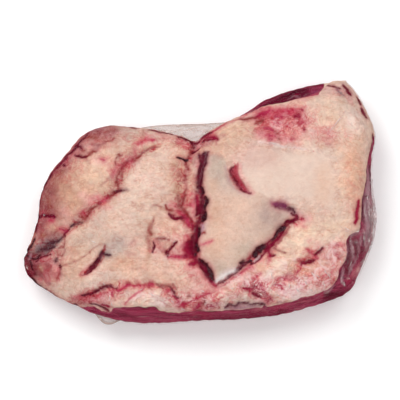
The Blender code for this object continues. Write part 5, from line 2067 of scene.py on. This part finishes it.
# Loose film beyond the meat: its edge over the meat, its free edge, its level, and how milky it is inside
# and along both edges
WEBS = {
    "film_web_notch": (
        points_in("-66,80 -44,76 -26,70 -8,62 6,66 22,76 38,84"),
        points_in("-66,84 -44,87 -20,88 2,88.5 18,89.5 30,90 40,87"),
        40, 0.6, 1.0,
    ),
    "film_web_corner": (
        points_in("-128,-114 -116,-116 -104,-120 -92,-124 -78,-126"),
        points_in("-125,-118 -118,-125 -113,-132 -106,-138 -98,-138.5 -90,-135 -79,-131"),
        36, 0.5, 1.3,
    ),
}
WEB_CELLS = (90, 16)
WEB_THICKNESS = 0.5


def web_mesh(name, inner, outer, level, body, rim_milk, waves):
    """A thin wavy sheet between two lines, closed all round."""
    shares = np.linspace(0, 1, WEB_CELLS[0] + 1)
    sides = [walk_along(curve_through(line, LINE_STEPS, closed=False), shares) for line in (inner, outer)]
    blend = np.linspace(0, 1, WEB_CELLS[1] + 1)[:, None, None]
    plan = ((1 - blend) * sides[0] + blend * sides[1]).reshape(-1, 2)
    free = np.repeat(blend.ravel(), len(shares))
    height = level + waves * (lumps_at(plan, *WEB_WAVES) + 0.5 * lumps_at(plan, *WEB_RIPPLES))
    upper = np.column_stack([plan, height + WEB_THICKNESS / 2])
    lower = np.column_stack([plan, height - WEB_THICKNESS / 2])
    top = grid_quads(*WEB_CELLS)
    edge = grid_rim(*WEB_CELLS)
    after = np.roll(edge, -1)
    rim = np.column_stack([edge, edge + len(plan), after + len(plan), after])
    faces = [*top.tolist(), *(top[:, ::-1] + len(plan)).tolist(), *rim.tolist()]
    data = bpy.data.meshes.new(name)
    data.from_pydata((np.vstack([upper, lower]) * MM).tolist(), [], faces)
    mesh = bmesh.new()
    mesh.from_mesh(data)
    bmesh.ops.recalc_face_normals(mesh, faces=mesh.faces)
    mesh.to_mesh(data)
    mesh.free()
    edges = smooth_step(0.75, 1.0, free) + smooth_step(0.25, 0.0, free)
    set_floats(data, "haze", np.tile(body + (rim_milk - body) * edges, 2))
    data.shade_smooth()
    return data


class BEEF_OT_webs(bpy.types.Operator):
    """Add the loose film in the notch and at the front corner"""

    bl_idname = "beef.webs"
    bl_label = "Film webs"

    def execute(self, context):
        settings = context.scene.beef.film
        material = film_material(settings, settings.loose)
        for name, web in WEBS.items():
            add_piece(name, web_mesh(name, *web, settings.web_waves / MM), material)
        return {"FINISHED"}


class BEEF_OT_creases(bpy.types.Operator):
    """Lay the film's sharp creases over it, milky white as painted highlights"""

    bl_idname = "beef.creases"
    bl_label = "Film creases"

    def execute(self, context):
        settings = context.scene.beef.film
        skin = pack_skin()
        rise = settings.offset / MM + settings.waves / MM / 2
        lines = []
        for points in GLINTS:
            line, thick = smooth_line(points, CREASE_ENDS)
            lines.append((skin.lift(line, rise), settings.crease / MM * thick))
        material = film_material(settings, settings.glint)
        values = {"Sides": CREASE_SIDES}
        made = crease_tree(material).grow("film_glint_creases", line_mesh("film_glint_creases", lines), values)
        set_floats(made, "haze", np.full(len(made.vertices), settings.crease_milk))
        add_piece("film_glint_creases", made, material)
        return {"FINISHED"}


# ---- Stage -------------------------------------------------------------------------------------------

TARGET = Vector((0, 0, 0.045))
CAMERA_DISTANCE = 1.8
CAMERA_ELEVATION = 80.0
VIEW_WIDTH = 0.448
SENSOR = 36.0
FLOOR_SIZE = 6.0
FLOOR_DROP = 0.0005
# Each light's share of the power, from the back right round to the front right
LIGHT_SHARES = (1.0, 1.7, 0.75, 0.55)
LIGHT_SIZE = 1.0
LIGHT_DISTANCE = 1.9


def aim(name, data, ray, distance):
    """Puts a camera or a light that far along the ray from the target, turned to look at it."""
    holder = bpy.data.objects.new(name, data)
    holder.location = TARGET + distance * ray
    holder.rotation_mode = "QUATERNION"
    holder.rotation_quaternion = (-ray).to_track_quat("-Z", "Y")
    bpy.context.scene.collection.objects.link(holder)
    return holder


class BEEF_OT_stage(bpy.types.Operator):
    """Set up the floor, the light and the camera"""

    bl_idname = "beef.stage"
    bl_label = "Stage"

    def execute(self, context):
        settings = context.scene.beef.stage
        self.add_camera(context.scene)
        self.add_floor(settings)
        self.add_lights(context.scene, settings)
        context.scene.view_settings.view_transform = "Standard"
        return {"FINISHED"}

    def add_camera(self, scene):
        camera = bpy.data.cameras.new("camera")
        camera.sensor_width = SENSOR
        camera.lens = SENSOR * CAMERA_DISTANCE / VIEW_WIDTH
        rise = np.radians(CAMERA_ELEVATION)
        back = Vector((0, -np.cos(rise), np.sin(rise)))
        scene.camera = aim("camera", camera, back, CAMERA_DISTANCE)

    def add_floor(self, settings):
        mesh = bmesh.new()
        bmesh.ops.create_grid(mesh, x_segments=1, y_segments=1, size=FLOOR_SIZE / 2)
        data = bpy.data.meshes.new("floor")
        mesh.to_mesh(data)
        mesh.free()
        s = Shades("floor")
        shader = s.add("ShaderNodeBsdfPrincipled", inputs={
            "Base Color": settings.floor, "Roughness": 0.9, "Specular IOR Level": 0.0,
            "Emission Color": WHITE, "Emission Strength": settings.floor_glow,
        })
        data.materials.append(s.surface(shader))
        floor = bpy.data.objects.new("floor", data)
        floor.location = (0, 0, -FLOOR_DROP)
        bpy.context.scene.collection.objects.link(floor)

    def add_lights(self, scene, settings):
        world = bpy.data.worlds.new("sky")
        world.use_nodes = True
        sky = world.node_tree.nodes["Background"]
        sky.inputs["Color"].default_value = WHITE
        sky.inputs["Strength"].default_value = settings.fill
        scene.world = world
        rise = np.radians(settings.rise)
        for index, share in enumerate(LIGHT_SHARES):
            turn = 2 * np.pi * (index + 0.5) / len(LIGHT_SHARES)
            ray = Vector((np.cos(turn) * np.cos(rise), np.sin(turn) * np.cos(rise), np.sin(rise)))
            light = bpy.data.lights.new(f"light_{index}", "AREA")
            light.shape = "DISK"
            light.size = LIGHT_SIZE
            light.energy = settings.key * share
            aim(light.name, light, ray, LIGHT_DISTANCE)


class BEEF_PT_panel(bpy.types.Panel):
    bl_idname = "BEEF_PT_panel"
    bl_label = "Beef shoulder"
    bl_space_type = "VIEW_3D"
    bl_region_type = "UI"
    bl_category = "Beef"

    def draw(self, context):
        beef = context.scene.beef
        groups = (
            (beef.meat, (BEEF_OT_meat, BEEF_OT_clots)),
            (beef.film, (BEEF_OT_film, BEEF_OT_creases, BEEF_OT_webs)),
            (beef.stage, (BEEF_OT_stage,)),
        )
        for settings, operators in groups:
            box = self.layout.box()
            for name in settings.bl_rna.properties.keys():
                if name not in ("rna_type", "name"):
                    box.prop(settings, name)
            for operator in operators:
                box.operator(operator.bl_idname)


CLASSES = (
    MeatSettings, FilmSettings, StageSettings, BeefSettings,
    BEEF_OT_meat, BEEF_OT_clots, BEEF_OT_film, BEEF_OT_creases, BEEF_OT_webs, BEEF_OT_stage, BEEF_PT_panel,
)


def register():
    for cls in CLASSES:
        bpy.utils.register_class(cls)
    bpy.types.Scene.beef = PointerProperty(type=BeefSettings)


def unregister():
    del bpy.types.Scene.beef
    for cls in reversed(CLASSES):
        bpy.utils.unregister_class(cls)


def main():
    register()
    bpy.ops.beef.meat()
    bpy.ops.beef.clots()
    bpy.ops.beef.film()
    bpy.ops.beef.creases()
    bpy.ops.beef.webs()
    bpy.ops.beef.stage()


if __name__ == "__main__":
    main()
